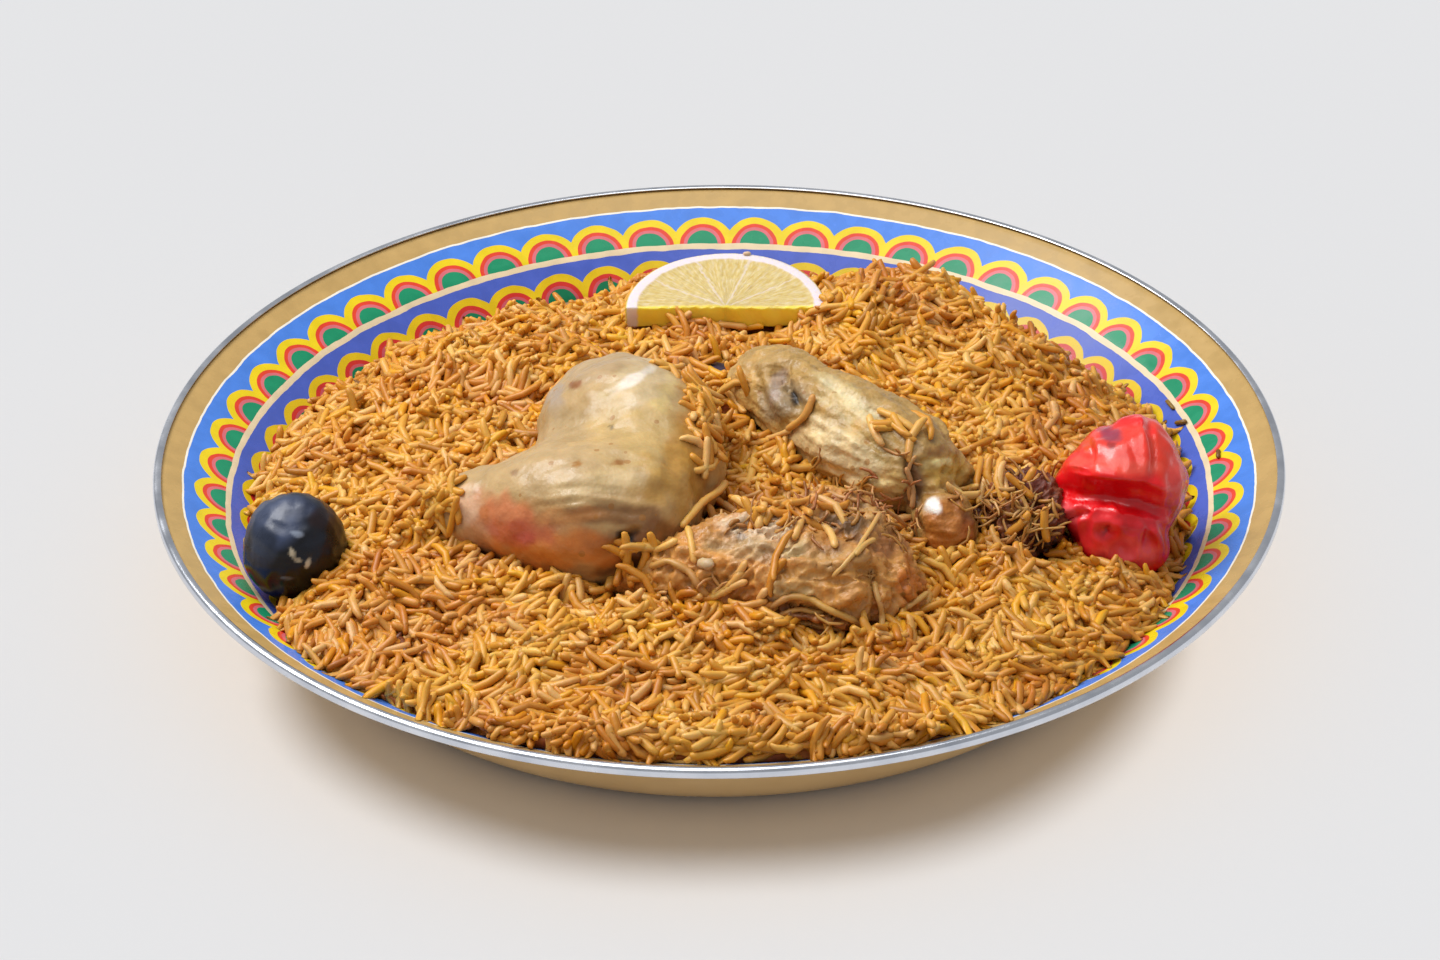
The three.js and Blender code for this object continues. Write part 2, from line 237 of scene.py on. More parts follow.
def tree_of(mesh):
    """A tree for finding the nearest point or the first hit on a mesh, in metres."""
    faces = [tuple(f.vertices) for f in mesh.polygons]
    return BVHTree.FromPolygons([v.co.copy() for v in mesh.vertices], faces)


def in_picture(points):
    """Where points in millimetres lie in the 1440 by 960 picture, and how far ahead of the camera."""
    away = points * MM - np.array(EYE)
    ahead = away @ np.array(AHEAD)
    x = PICTURE[0] / 2 + FOCAL_PX * (away @ np.array(RIGHT)) / ahead
    y = PICTURE[1] / 2 - FOCAL_PX * (away @ np.array(UP)) / ahead
    return x, y, ahead


def seen_at(x, y, trees):
    """The point, its normal and its distance: the first surface seen at a place in the picture."""
    way = AHEAD + RIGHT * ((x - PICTURE[0] / 2) / FOCAL_PX) + UP * ((PICTURE[1] / 2 - y) / FOCAL_PX)
    way.normalize()
    best = None
    for tree in trees:
        point, normal, _, far = tree.ray_cast(EYE, way)
        if point is not None and (best is None or far < best[2]):
            best = (point, normal, far)
    return best


def toward_camera(points, normals):
    """How squarely each point of a surface faces the camera: 1 straight on, 0 edge on."""
    toward = np.array(EYE) / MM - points
    toward /= np.linalg.norm(toward, axis=1)[:, None]
    return (normals * toward).sum(axis=1)


def dress(obj, material, slot, *nodes):
    """Gives a finished piece its material and body, and hides the CAD nodes it stands for; its slot is
    not used.
    """
    if material is not None:
        obj.data.materials.clear()
        obj.data.materials.append(material)
    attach(obj, "root")
    if nodes:
        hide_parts(*nodes)
    return obj


# Plate

def inside_line():
    """The plate's inside, from the sheet's edge to the floor, as radius and depth below the crest."""
    radius = LIP_RADIUS
    depth = SHEET_EDGE_DEPTH + (SHEET_EDGE_RADIUS - LIP_RADIUS) * math.tan(math.radians(LIP_SLOPE))
    line = [(SHEET_EDGE_RADIUS, SHEET_EDGE_DEPTH), (radius, depth)]
    for end, slope in WALL_STEPS:
        depth += (radius - end) * math.tan(math.radians(slope))
        radius = end
        line.append((radius, depth))
    steepest = math.radians(WALL_STEPS[-1][1])
    centre = (radius - CORNER_RADIUS * math.sin(steepest), depth - CORNER_RADIUS * math.cos(steepest))
    for i in range(1, CORNER_STEPS + 1):
        slope = steepest * (1 - i / CORNER_STEPS)
        line.append((centre[0] + CORNER_RADIUS * math.sin(slope),
                     centre[1] + CORNER_RADIUS * math.cos(slope)))
    return line


INSIDE = inside_line()
RIM_HEIGHT = INSIDE[-1][1] + SHEET


def inside_height(points):
    """Height of the plate's inside under each point."""
    radii = [0.0] + [r for r, _ in reversed(INSIDE)]
    heights = [SHEET] + [RIM_HEIGHT - d for _, d in reversed(INSIDE)]
    return np.interp(np.hypot(points[:, 0], points[:, 1]), radii, heights)


def turned(name, profile):
    """A closed turned mesh from a profile of radius and height, and each face's place in the profile."""
    points, rings = [], []
    for r, z in profile:
        if r == 0.0:
            rings.append([len(points)] * ROUND_STEPS)
            points.append((0.0, 0.0, z))
            continue
        rings.append(list(range(len(points), len(points) + ROUND_STEPS)))
        for i in range(ROUND_STEPS):
            a = 2 * math.pi * i / ROUND_STEPS
            points.append((r * math.cos(a), r * math.sin(a), z))
    faces, spots = [], []
    for k, (low, high) in enumerate(zip(rings, rings[1:])):
        for i in range(ROUND_STEPS):
            j = (i + 1) % ROUND_STEPS
            face = list(dict.fromkeys((low[i], low[j], high[j], high[i])))
            if len(face) > 2:
                faces.append(face)
                spots.append(k)
    return new_mesh(name, points, faces), spots


# The print: rings of scallops, each a set of circles one inside the other round points on a base
# line, from the innermost colour to the ground; radii in millimetres, slopes of the wall in degrees
SCALLOP_REACH = 24.0
OUTER_COLOURS = [(0.0, "#1c8a62"), (4.9, "#cf6a74"), (6.1, "#d8422e"), (7.5, "#e2c81c"),
                 (10.1, "#4a7fd8")]
# the inner ring's colours are the outer ring's made darker: painted shade on the steeper wall by the rice
INNER_COLOURS = [(0.0, "#14704c"), (4.6, "#b8525e"), (5.7, "#c0302a"), (7.2, "#d2b416"),
                 (9.9, "#4a60bc")]
SCALLOP_RINGS = [
    {"name": "outer", "count": 55, "first": -1.8, "base": 149.1, "slope": 30, "colours": OUTER_COLOURS},
    {"name": "inner", "count": 54, "first": -1.6, "base": 137.0, "slope": 38, "colours": INNER_COLOURS},
]
# bands from the middle out: the radius where each starts, and its colour or its ring
BANDS = [(0.0, "#c9b48e"), (137.0, "inner"), (147.5, "#dccba8"), (149.1, "outer"), (160.9, "#e9e4d6"),
         (161.5, "#b8985f")]
PRINT_WANDER = 1.1
# the middle part of a noise's range, which is nearly all of it
NOISE_LOW, NOISE_HIGH = 0.3, 0.7


def scallops(tree, angle, radius, ring):
    """The colour of a ring of scallops at each angle and radius."""
    turns = add(tree, "Math", {0: angle, 1: ring["count"] / (2 * math.pi),
                               2: -ring["first"] * ring["count"] / 360}, operation="MULTIPLY_ADD")
    whole = add(tree, "Math", {0: turns}, operation="ROUND")
    cell = add(tree, "Math", {0: turns, 1: whole}, operation="SUBTRACT")
    arc = add(tree, "Math", {0: cell, 1: radius}, operation="MULTIPLY")
    across = add(tree, "Math", {0: arc, 1: 2 * math.pi / ring["count"]}, operation="MULTIPLY")
    above = add(tree, "Math", {0: radius, 1: ring["base"]}, operation="SUBTRACT")
    steep = 1 / math.cos(math.radians(ring["slope"]))
    up = add(tree, "Math", {0: above, 1: steep}, operation="MULTIPLY")
    spot = add(tree, "CombineXYZ", {0: across, 1: up})
    away = add(tree, "VectorMath", {0: spot}, operation="LENGTH").outputs["Value"]
    share = add(tree, "Math", {0: away, 1: 1 / SCALLOP_REACH}, operation="MULTIPLY")
    stops = [(r / SCALLOP_REACH, colour) for r, colour in ring["colours"]]
    ramp = add(tree, "ValToRGB", {0: share}, stops=stops)
    ramp.color_ramp.interpolation = "CONSTANT"
    return ramp


def enamel_inside():
    """Cream vitreous enamel with a fired transfer print: glassy, a little uneven, two rings of
    scallops in blue, yellow, red and green between cream lines; the inner ring is painted darker as
    shade."""
    made, tree, shader = new_material("vitreous_enamel_printed")
    place = add(tree, "TexCoord").outputs["Object"]
    wobble = add(tree, "TexNoise", {"Vector": place, "Scale": 110.0, "Detail": 2.0})
    shift = add(tree, "VectorMath", {0: wobble.outputs["Color"], 1: (0.5, 0.5, 0.5)},
                operation="SUBTRACT")
    small = add(tree, "VectorMath", {0: shift, "Scale": PRINT_WANDER * MM}, operation="SCALE")
    bent = add(tree, "VectorMath", {0: place, 1: small}, operation="ADD")
    parts = add(tree, "SeparateXYZ", {0: bent})
    flat = add(tree, "VectorMath", {0: bent, 1: (1 / MM, 1 / MM, 0.0)}, operation="MULTIPLY")
    radius = add(tree, "VectorMath", {0: flat}, operation="LENGTH").outputs["Value"]
    angle = add(tree, "Math", {0: parts.outputs["X"], 1: parts.outputs["Y"]}, operation="ARCTAN2")
    paints = {ring["name"]: scallops(tree, angle, radius, ring) for ring in SCALLOP_RINGS}
    colour = linear(BANDS[0][1])
    for start, name in BANDS[1:]:
        inside = add(tree, "Math", {0: radius, 1: start}, operation="GREATER_THAN")
        paint = paints[name] if name in paints else linear(name)
        colour = add(tree, "Mix", {0: inside, 6: colour, 7: paint}, data_type="RGBA").outputs[2]
    # light mottling of the fired print, about 6 mm across
    cloud = add(tree, "TexNoise", {"Vector": place, "Scale": 160.0, "Detail": 4.0})
    tone = add(tree, "MapRange", {0: cloud, 1: 0.3, 2: 0.75, 3: 0.9, 4: 1.08})
    mottled = add(tree, "VectorMath", {0: colour, "Scale": tone}, operation="SCALE")
    gloss = add(tree, "MapRange", {0: cloud, 1: NOISE_LOW, 2: NOISE_HIGH, 3: 0.2, 4: 0.34})
    skin = add(tree, "TexNoise", {"Vector": place, "Scale": 60.0, "Detail": 1.0})
    bump = add(tree, "Bump", {"Strength": 0.25, "Distance": 0.4 * MM, "Height": skin})
    fill(tree, shader, {"Base Color": mottled, "Roughness": gloss, "Normal": bump, "IOR": 1.52,
                        "Specular IOR Level": 0.2})
    return made


def clouded(tree, shader, scale, detail, colours, strength, relief, gloss=None):
    """One soft noise that shades a finish's colour, its relief of some millimetres and its gloss."""
    place = add(tree, "TexCoord").outputs["Object"]
    cloud = add(tree, "TexNoise", {"Vector": place, "Scale": scale, "Detail": detail})
    ramp = add(tree, "ValToRGB", {0: cloud}, stops=[(NOISE_LOW, colours[0]), (NOISE_HIGH, colours[1])])
    bump = add(tree, "Bump", {"Strength": strength, "Distance": relief * MM, "Height": cloud})
    fill(tree, shader, {"Base Color": ramp, "Normal": bump})
    if gloss:
        rough = add(tree, "MapRange", {0: cloud, 1: NOISE_LOW, 2: NOISE_HIGH, 3: gloss[0], 4: gloss[1]})
        fill(tree, shader, {"Roughness": rough})





def enamel_outside():
    """Tan vitreous enamel on the back of the sheet: glossy and a little cloudy; its tan is painted
    lighter as light bounced up from the floor.
    """
    made, tree, shader = new_material("vitreous_enamel_tan")
    clouded(tree, shader, 35.0, 3.0, ("#dab47c", "#e8c690"), 0.2, 0.4, (0.16, 0.28))
    fill(tree, shader, {"IOR": 1.52, "Specular IOR Level": 0.2})
    return made


def rim_steel():
    """Rolled stainless steel band, worn bright: cloudy patches of finer and coarser polish."""
    made, tree, shader = new_material("stainless_steel_rolled")
    clouded(tree, shader, 90.0, 4.0, ("#cdd2dc", "#e8ebf2"), 0.15, 0.2, (0.14, 0.32))
    fill(tree, shader, {"Metallic": 1.0})
    return made


def make_sheet():
    """The enamelled sheet, printed inside and tan on its back."""
    inside = [(r, RIM_HEIGHT - d) for r, d in reversed(INSIDE)]
    fine = []
    for (r0, z0), (r1, z1) in zip(inside, inside[1:]):
        count = max(1, round(math.hypot(r1 - r0, z1 - z0) / SHEET_STEP))
        fine += [(r0 + (r1 - r0) * i / count, z0 + (z1 - z0) * i / count) for i in range(count)]
    fine.append(inside[-1])
    outside = []
    for i, (r, z) in enumerate(fine):
        r0, z0 = fine[max(i - 1, 0)]
        r1, z1 = fine[min(i + 1, len(fine) - 1)]
        slope = 0.0 if i == 0 else math.atan2(z1 - z0, r1 - r0)
        outside.append((r + SHEET * math.sin(slope), z - SHEET * math.cos(slope)))
    outside[-1] = (SHEET_EDGE_RADIUS, RIM_HEIGHT - SHEET_EDGE_DEPTH - SHEET)
    base = [(r, 0.0) for r in FLOOR_RINGS]
    floor = [(r, SHEET) for r in reversed(FLOOR_RINGS)]
    mesh, spots = turned("plate_sheet", base + outside + fine[::-1] + floor)
    mesh.materials.append(enamel_inside())
    mesh.materials.append(enamel_outside())
    back = len(base) + len(outside) - 1
    mesh.polygons.foreach_set("material_index", [1 if k < back else 0 for k in spots])
    dress(new_object("plate_sheet", mesh), None, "enamel", "plate")


def make_band():
    """The steel band closed over the sheet's edge, round above and open to the inside."""
    top, low = RIM_HEIGHT, RIM_HEIGHT - BAND_HEIGHT
    inner, outer = BAND_INNER_RADIUS, RIM_RADIUS
    groove = SHEET_EDGE_RADIUS + BAND_GAP
    profile = [
        (inner, low + 0.05), (inner + 0.1, low), (outer - 0.5, low), (outer - 0.15, low + 0.15),
        (outer, low + 0.5), (outer, top - 1.2), (outer - 0.1, top - 0.75), (outer - 0.35, top - 0.35),
        (outer - 0.8, top - 0.1), (outer - 1.4, top), (inner + 0.35, top - 0.1),
        (inner + 0.08, top - 0.2), (inner, top - 0.3), (inner, top - 0.5), (groove - 0.3, top - 0.66),
        (groove, top - 0.75), (groove, low + 0.25), (inner, low + 0.17), (inner, low + 0.05),
    ]
    mesh, _ = turned("rim_band_steel", profile)
    dress(new_object("rim_band_steel", welded(mesh, 0.001)), rim_steel(), "rim_steel", "rim_band")


make_sheet()
make_band()


# Looks shared by the pieces

COARSE_VOXEL = 1.6


def smooth_step(value, low, high):
    """0 below low, 1 above high, soft in between."""
    share = np.clip((value - low) / (high - low), 0.0, 1.0)
    return share * share * (3 - 2 * share)


def painted(obj, base, patches, seed, wander=0.22, swell=9.0):
    """Gives the piece a "tone" colour: a base, and soft patches laid on the side that the camera
    sees; some patches are painted highlights and painted shade. A patch is x, y, half width and
    half height in picture pixels, turn in degrees, colour and strength."""
    points = points_of(obj.data)
    x, y, _ = in_picture(points)
    facing = np.clip(toward_camera(points, normals_of(obj.data)) * 3 + 0.3, 0, 1)
    colour = np.tile(np.array(linear(base)), (len(points), 1))
    for i, (cx, cy, half_x, half_y, turn, patch, strength) in enumerate(patches):
        c, s = math.cos(math.radians(turn)), math.sin(math.radians(turn))
        dx, dy = x - cx, y - cy
        away = np.hypot((dx * c - dy * s) / half_x, (dx * s + dy * c) / half_y)
        away += wander * waves(points, min(swell, 0.5 * (half_x + half_y) / 2), seed + i)
        share = (strength * (1 - smooth_step(away, 0.55, 1.15)) * facing)[:, None]
        colour = colour * (1 - share) + np.array(linear(patch)) * share
    marked(obj.data, "tone", colour, "FLOAT_COLOR", "color")


def toned(tree, scale, detail, low, high, grain=0.5):
    """The piece's painted tone, mottled by a soft noise; and the noise."""
    place = add(tree, "TexCoord").outputs["Object"]
    tone = add(tree, "Attribute", attribute_name="tone").outputs["Color"]
    cloud = add(tree, "TexNoise", {"Vector": place, "Scale": scale, "Detail": detail,
                                   "Roughness": grain})
    level = add(tree, "MapRange", {0: cloud, 1: NOISE_LOW, 2: NOISE_HIGH, 3: low, 4: high})
    mottled = add(tree, "VectorMath", {0: tone, "Scale": level}, operation="SCALE")
    return place, mottled, cloud


def skin_finish(name, roughness, mottle, depth=0.16, pore=1.4):
    """Stewed skin, wet with stock: softly mottled, fine pores, spice specks, a thin glaze."""
    made, tree, shader = new_material(name)
    place, mottled, cloud = toned(tree, 150.0, 5.0, *mottle, grain=0.6)
    spots = add(tree, "TexVoronoi", {"Vector": place, "Scale": 230.0})
    picked = add(tree, "SeparateColor", {0: spots.outputs["Color"]})
    chosen = add(tree, "MapRange", {0: picked, 1: 0.62, 2: 0.95, 3: 0.0, 4: 0.24})
    inside = add(tree, "Math", {0: spots.outputs["Distance"], 1: chosen}, operation="LESS_THAN")
    share = add(tree, "Math", {0: inside, 1: 0.6}, operation="MULTIPLY")
    specked = add(tree, "Mix", {0: share, 6: mottled, 7: linear("#9a6420")}, data_type="RGBA")
    pores = add(tree, "TexVoronoi", {"Vector": place, "Scale": 1 / (pore * MM)})
    folds = add(tree, "TexNoise", {"Vector": place, "Scale": 500.0, "Detail": 4.0})
    both = add(tree, "Math", {0: pores.outputs["Distance"], 1: 0.5, 2: folds}, operation="MULTIPLY_ADD")
    bump = add(tree, "Bump", {"Strength": 1.0, "Distance": depth * MM, "Height": both})
    wet = add(tree, "MapRange", {0: cloud, 1: 0.35, 2: 0.65, 3: roughness - 0.08, 4: roughness + 0.1})
    fill(tree, shader, {"Base Color": specked.outputs[2], "Normal": bump, "Roughness": wet,
                        "IOR": 1.42, "Subsurface Weight": 0.15, "Subsurface Radius": (1.0, 0.5, 0.25),
                        "Subsurface Scale": 0.003, "Coat Weight": 0.12, "Coat Roughness": 0.14})
    return made


def pushed(obj, amounts):
    """Moves each point along its normal by millimetres."""
    mesh = obj.data
    set_points(mesh, points_of(mesh) + normals_of(mesh) * np.reshape(amounts, (-1, 1)))


def filleted(obj, reach, voxel):
    """Fills the creases between swellings that grew together, with a round of reach millimetres."""
    obj = refined(obj, COARSE_VOXEL, rounds=2)
    pushed(obj, reach)
    obj = refined(obj, COARSE_VOXEL, rounds=4)
    pushed(obj, -reach)
    return refined(obj, voxel, rounds=8)


def near_line(x, y, line):
    """Distance in pixels from each place to a line of picture places, and the share along it."""
    best = np.full(len(x), 1e9)
    along = np.zeros(len(x))
    for i, ((x0, y0), (x1, y1)) in enumerate(zip(line, line[1:])):
        dx, dy = x1 - x0, y1 - y0
        t = np.clip(((x - x0) * dx + (y - y0) * dy) / (dx * dx + dy * dy), 0, 1)
        away = np.hypot(x - x0 - t * dx, y - y0 - t * dy)
        along = np.where(away < best, (i + t) / (len(line) - 1), along)
        best = np.minimum(best, away)
    return best, along


def creased(obj, creases):
    """Ridges and grooves along lines of picture places on the side that the camera sees. A crease
    is its line, half width in pixels and height in millimetres, less than nothing for a groove."""
    points, normals = points_of(obj.data), normals_of(obj.data)
    x, y, _ = in_picture(points)
    facing = np.clip(toward_camera(points, normals) * 2.5, 0, 1)
    push = np.zeros(len(points))
    for line, half, height in creases:
        away, along = near_line(x, y, line)
        ends = np.clip(np.minimum(along, 1 - along) * 6, 0, 1)
        push += height * np.exp(-(away / half) ** 2) * (0.35 + 0.65 * ends) * facing
    set_points(obj.data, points + normals * push[:, None])


# Left leg

LEFT_PATCHES = [
    (640, 430, 60, 60, 10, "#c6a663", 0.5), (588, 440, 30, 26, 0, "#c1a069", 0.5),
    (664, 395, 12, 22, -10, "#d0b779", 0.6), (600, 480, 50, 14, 8, "#cfb483", 0.6),
    (548, 394, 17, 24, 60, "#a18d7a", 0.8), (600, 365, 55, 14, 14, "#ab906c", 0.6),
    # the patch at 638, 384 is a painted highlight on the leg's top
    (638, 384, 40, 24, 40, "#c7af86", 0.8), (690, 460, 26, 52, 10, "#aa7939", 0.85),
    (700, 420, 20, 40, -20, "#aa824b", 0.7), (560, 425, 30, 22, 0, "#ab8f63", 0.6),
    (560, 468, 60, 22, 18, "#ba9c6f", 0.7), (660, 500, 40, 22, 10, "#ae854b", 0.6),
    (506, 526, 50, 32, -16, "#c87446", 0.9), (516, 534, 26, 15, -10, "#c4512f", 0.8),
    # the patch at 610, 515 is painted shade along the leg's underside
    (478, 530, 16, 26, 10, "#9d643f", 0.6), (610, 515, 62, 10, 4, "#7c5128", 0.8),
    (580, 545, 46, 16, 4, "#9b5720", 0.9), (640, 540, 42, 22, 20, "#76451a", 0.8),
    # the patch at 627, 538 is painted shade in the slit
    (560, 570, 50, 8, 0, "#a26f3b", 0.6), (627, 538, 14, 5, 30, "#301a0a", 1.0),
    (575, 385, 8, 5, 0, "#89501d", 0.9), (577, 464, 5, 4, 0, "#a26d29", 0.9),
    (617, 463, 8, 4, 0, "#945f23", 0.9), (611, 427, 3, 3, 0, "#4f4026", 0.8),
    (514, 473, 5, 4, 30, "#8e6942", 0.8), (603, 396, 7, 6, 0, "#b39451", 0.8),
    (642, 414, 11, 5, 0, "#b69653", 0.8), (667, 498, 10, 9, 0, "#b89157", 0.7),
    # the patch at 634, 379 is a painted highlight on the leg's top
    (634, 379, 24, 6, 31, "#e6daca", 0.9), (655, 480, 14, 30, 10, "#b18331", 0.55),
    # the patch at 560, 552 here and the one at 640, 560 below are painted shade under the leg
    (690, 440, 12, 50, 8, "#a97628", 0.6), (560, 552, 60, 8, 4, "#773d14", 0.7),
    (640, 560, 40, 12, 14, "#5a2d10", 0.8), (540, 505, 26, 8, -10, "#9b682c", 0.5),
    (450, 505, 26, 12, -30, "#aa8457", 0.6), (548, 552, 84, 24, 2, "#cf7d34", 0.75),
    (566, 517, 42, 9, 6, "#b8783c", 0.6), (472, 545, 26, 30, -20, "#d29a6a", 0.55),
    (464, 502, 24, 16, -30, "#dcb896", 0.7), (522, 532, 30, 15, -8, "#b85c3c", 0.75),
    (527, 538, 13, 7, 0, "#ae4632", 0.7), (484, 514, 5, 12, 10, "#b86a34", 0.8),
    (600, 548, 18, 12, 0, "#a86224", 0.7), (680, 470, 22, 44, 8, "#b98a34", 0.5),
    # the patch at 650, 545 is painted shade under the leg, and the one at 625, 537 painted shade in the
    # slit
    (650, 545, 26, 9, -20, "#75461c", 0.7), (625, 537, 15, 5.5, -32, "#26160a", 1.0),
]
LEFT_CREASES = [
    ([(540, 499), (580, 495), (628, 500)], 2.3, 0.4), ([(538, 506), (580, 502), (630, 507)], 2.3, -0.4),
    ([(545, 489), (585, 486), (622, 490)], 2.3, -0.3), ([(700, 400), (706, 430), (704, 460)], 6, 0.7),
    ([(612, 547), (626, 540), (640, 528)], 4.5, -1.8), ([(655, 505), (668, 480), (672, 450)], 10, -0.8),
    ([(560, 508), (600, 500), (650, 506)], 4, 0.5), ([(560, 516), (605, 509), (650, 517)], 4, -0.5),
    ([(600, 375), (640, 372), (668, 362)], 9, 0.7),
]


def make_left_leg():
    """The bent leg at the left: broad soft swells and fine lines on the drumstick."""
    leg = filleted(copy_of("chicken_leg_left", "stewed_leg_left"), reach=14.0, voxel=0.85)
    points = points_of(leg.data)
    lean = points[:, 0] * 0.5 + points[:, 1] * 0.86
    lines = waves(np.stack([points[:, 0] * 0.25, points[:, 1], points[:, 2]], axis=1), 4.5, 21)
    pushed(leg, 0.55 + 0.7 * waves(points, 26.0, 22) + 0.22 * waves(points, 9.0, 23)
           + 0.07 * waves(points, 3.5, 24) + 0.12 * lines * smooth_step(-lean, 20, 50))
    creased(leg, LEFT_CREASES)
    painted(leg, "#b49463", LEFT_PATCHES, 25)
    finish = skin_finish("stewed_chicken_skin_smooth", 0.4, mottle=(0.84, 1.1))
    return dress(leg, finish, "chicken_skin", "chicken_leg_left")


# Right leg

RIGHT_PATCHES = [
    (770, 366, 28, 12, 10, "#af8c51", 0.7), (782, 400, 22, 26, -40, "#937b5a", 0.9),
    (745, 400, 14, 40, 0, "#a17b42", 0.6), (850, 405, 44, 18, -38, "#c4aa72", 0.8),
    (870, 440, 40, 22, -40, "#bd9e61", 0.7), (858, 426, 8, 6, 0, "#bb8a30", 0.6),
    (842, 450, 9, 6, 0, "#b98832", 0.6), (905, 440, 20, 30, -30, "#aa874e", 0.6),
    (822, 455, 40, 14, -30, "#906630", 0.7), (890, 480, 24, 12, 0, "#ac7b3a", 0.6),
    (912, 486, 12, 24, 0, "#6d4b36", 0.8), (948, 470, 28, 14, 0, "#b18239", 0.9),
    (945, 452, 24, 8, 0, "#9d6e38", 0.7), (948, 530, 30, 44, 0, "#a56223", 1.0),
    # the patch at 968, 540 is painted shade on the knuckle's far edge
    (968, 540, 10, 40, -6, "#6c3611", 0.9), (935, 555, 16, 18, 0, "#814619", 0.6),
    # the patch at 796, 399 is painted shade in the joint's hole
    (800, 432, 12, 6, 0, "#b9762c", 0.6), (796, 399, 5, 9, 20, "#1b0f08", 1.0),
    # the thin pale streaks here and on the next two lines are the skin's lines, with painted highlights
    # on their ridges
    (846, 398, 34, 2.4, -38, "#dacca4", 0.9), (866, 408, 30, 2.0, -38, "#d5c89e", 0.8),
    (872, 424, 34, 2.0, -38, "#cab684", 0.8), (838, 412, 30, 2.0, -38, "#c8b482", 0.7),
    # the patch at 930, 464 is a painted highlight on the upper knuckle
    (858, 444, 30, 2.0, -38, "#c5ae74", 0.6), (930, 464, 9, 5, 0, "#e3d6a4", 0.8),
    # the patch at 934, 507 is a painted highlight on the lower knuckle
    (934, 507, 7, 6, 0, "#ece0c3", 0.9), (946, 470, 26, 16, 0, "#c49a44", 0.8),
    (948, 536, 27, 42, 0, "#b4702c", 0.8), (966, 548, 9, 34, -6, "#b05e1c", 0.7),
    # the patch at 932, 505 is a painted highlight on the lower knuckle, and the one at 944, 462 below a
    # painted highlight on the upper knuckle
    (930, 560, 14, 18, 0, "#8a5226", 0.6), (932, 505, 10, 10, 0, "#f2ece4", 0.95),
    (944, 462, 12, 5, 0, "#ecdc9a", 0.8), (778, 384, 9, 16, -24, "#a79286", 0.7),
    (850, 400, 40, 10, -38, "#d6c294", 0.5), (848, 458, 62, 24, -36, "#e6cfa0", 0.65),
    (884, 482, 24, 12, 0, "#eac880", 0.7), (746, 398, 14, 34, 0, "#d6aa62", 0.7),
    (808, 440, 26, 14, -20, "#e2c892", 0.6),
]
RIGHT_CREASES = [
    ([(768, 378), (775, 400), (790, 420)], 6, 1.1), ([(783, 378), (792, 396), (799, 408)], 4.5, -2.6),
    ([(758, 372), (763, 400), (775, 422)], 4, -0.9),
    ([(760, 366), (780, 364), (800, 378), (806, 400)], 5, 1.0),
    ([(830, 395), (870, 425), (905, 458)], 2.2, 0.45),
    ([(838, 390), (878, 418), (912, 452)], 2.0, -0.4),
    ([(826, 405), (862, 434), (896, 466)], 2.2, -0.4), ([(820, 412), (855, 442), (888, 474)], 2.4, 0.4),
    ([(846, 386), (885, 412), (922, 444)], 2.2, 0.4), ([(905, 455), (912, 480), (918, 505)], 4, -1.6),
    ([(920, 492), (945, 488), (975, 494)], 3.5, -1.5),
]


def make_right_leg():
    """The leg at the back right: lined skin and a deep open joint."""
    leg = filleted(copy_of("chicken_leg_right", "stewed_leg_right"), reach=2.0, voxel=0.75)
    points = points_of(leg.data)
    across = points @ np.array([0.83, 0.55, 0.1])
    along = points @ np.array([0.55, -0.83, 0.0])
    grain = np.stack([across, 0.12 * along, points[:, 2]], axis=1)
    pushed(leg, 0.45 + 0.6 * waves(points, 18.0, 31) + 0.32 * waves(points, 7.0, 32)
           + 0.36 * waves(grain, 2.4, 33) + 0.16 * waves(points, 3.0, 34))
    creased(leg, RIGHT_CREASES)
    painted(leg, "#af8a4c", RIGHT_PATCHES, 35)
    finish = skin_finish("stewed_chicken_skin_lined", 0.44, mottle=(0.74, 1.18), depth=0.4)
    return dress(leg, finish, "chicken_skin", "chicken_leg_right")


# Right thigh

THIGH_PATCHES = [
    (755, 530, 36, 22, 0, "#b2875b", 0.85), (700, 560, 50, 22, 20, "#cc8d43", 0.7),
    # the patch at 840, 525 is painted shade in the slit
    (840, 525, 32, 12, -20, "#784f23", 0.9), (845, 580, 70, 26, 0, "#d4964a", 0.85),
    (800, 575, 30, 12, 0, "#e0aa61", 0.6), (876, 600, 5, 30, 0, "#a35e21", 0.8),
    (850, 600, 8, 18, 20, "#b67934", 0.6), (826, 630, 52, 16, -8, "#9e5b27", 0.95),
    (800, 612, 40, 6, -16, "#79421c", 0.8), (912, 592, 14, 34, 8, "#be6d21", 0.95),
    # the patch at 890, 630 is a painted shadow under the thigh's end
    (890, 630, 26, 14, 0, "#64320f", 0.9), (640, 560, 40, 18, 20, "#d6994b", 0.6),
    (775, 555, 22, 10, 0, "#9a704c", 0.6), (720, 600, 50, 18, 0, "#be752d", 0.6),
    (735, 505, 24, 10, -20, "#b67337", 0.7), (890, 545, 22, 16, 0, "#985f33", 0.8),
    (757, 520, 44, 24, -10, "#d2b896", 0.8), (745, 548, 44, 16, 0, "#c0a274", 0.6),
    (824, 560, 50, 15, 0, "#a27c4a", 0.75), (782, 590, 34, 10, -8, "#dcb676", 0.7),
    # the patch at 845, 523 is painted shade in the slit
    (860, 575, 26, 16, 0, "#c08a48", 0.5), (845, 523, 26, 11, -10, "#6e4c26", 0.9),
    (872, 512, 18, 10, -30, "#bd9358", 0.8), (768, 512, 9, 5, 0, "#8a7480", 0.7),
    (740, 536, 9, 5, 0, "#8d7a6c", 0.7), (795, 545, 12, 20, -20, "#cdb07a", 0.7),
    (830, 545, 24, 8, 0, "#a07244", 0.7),
]
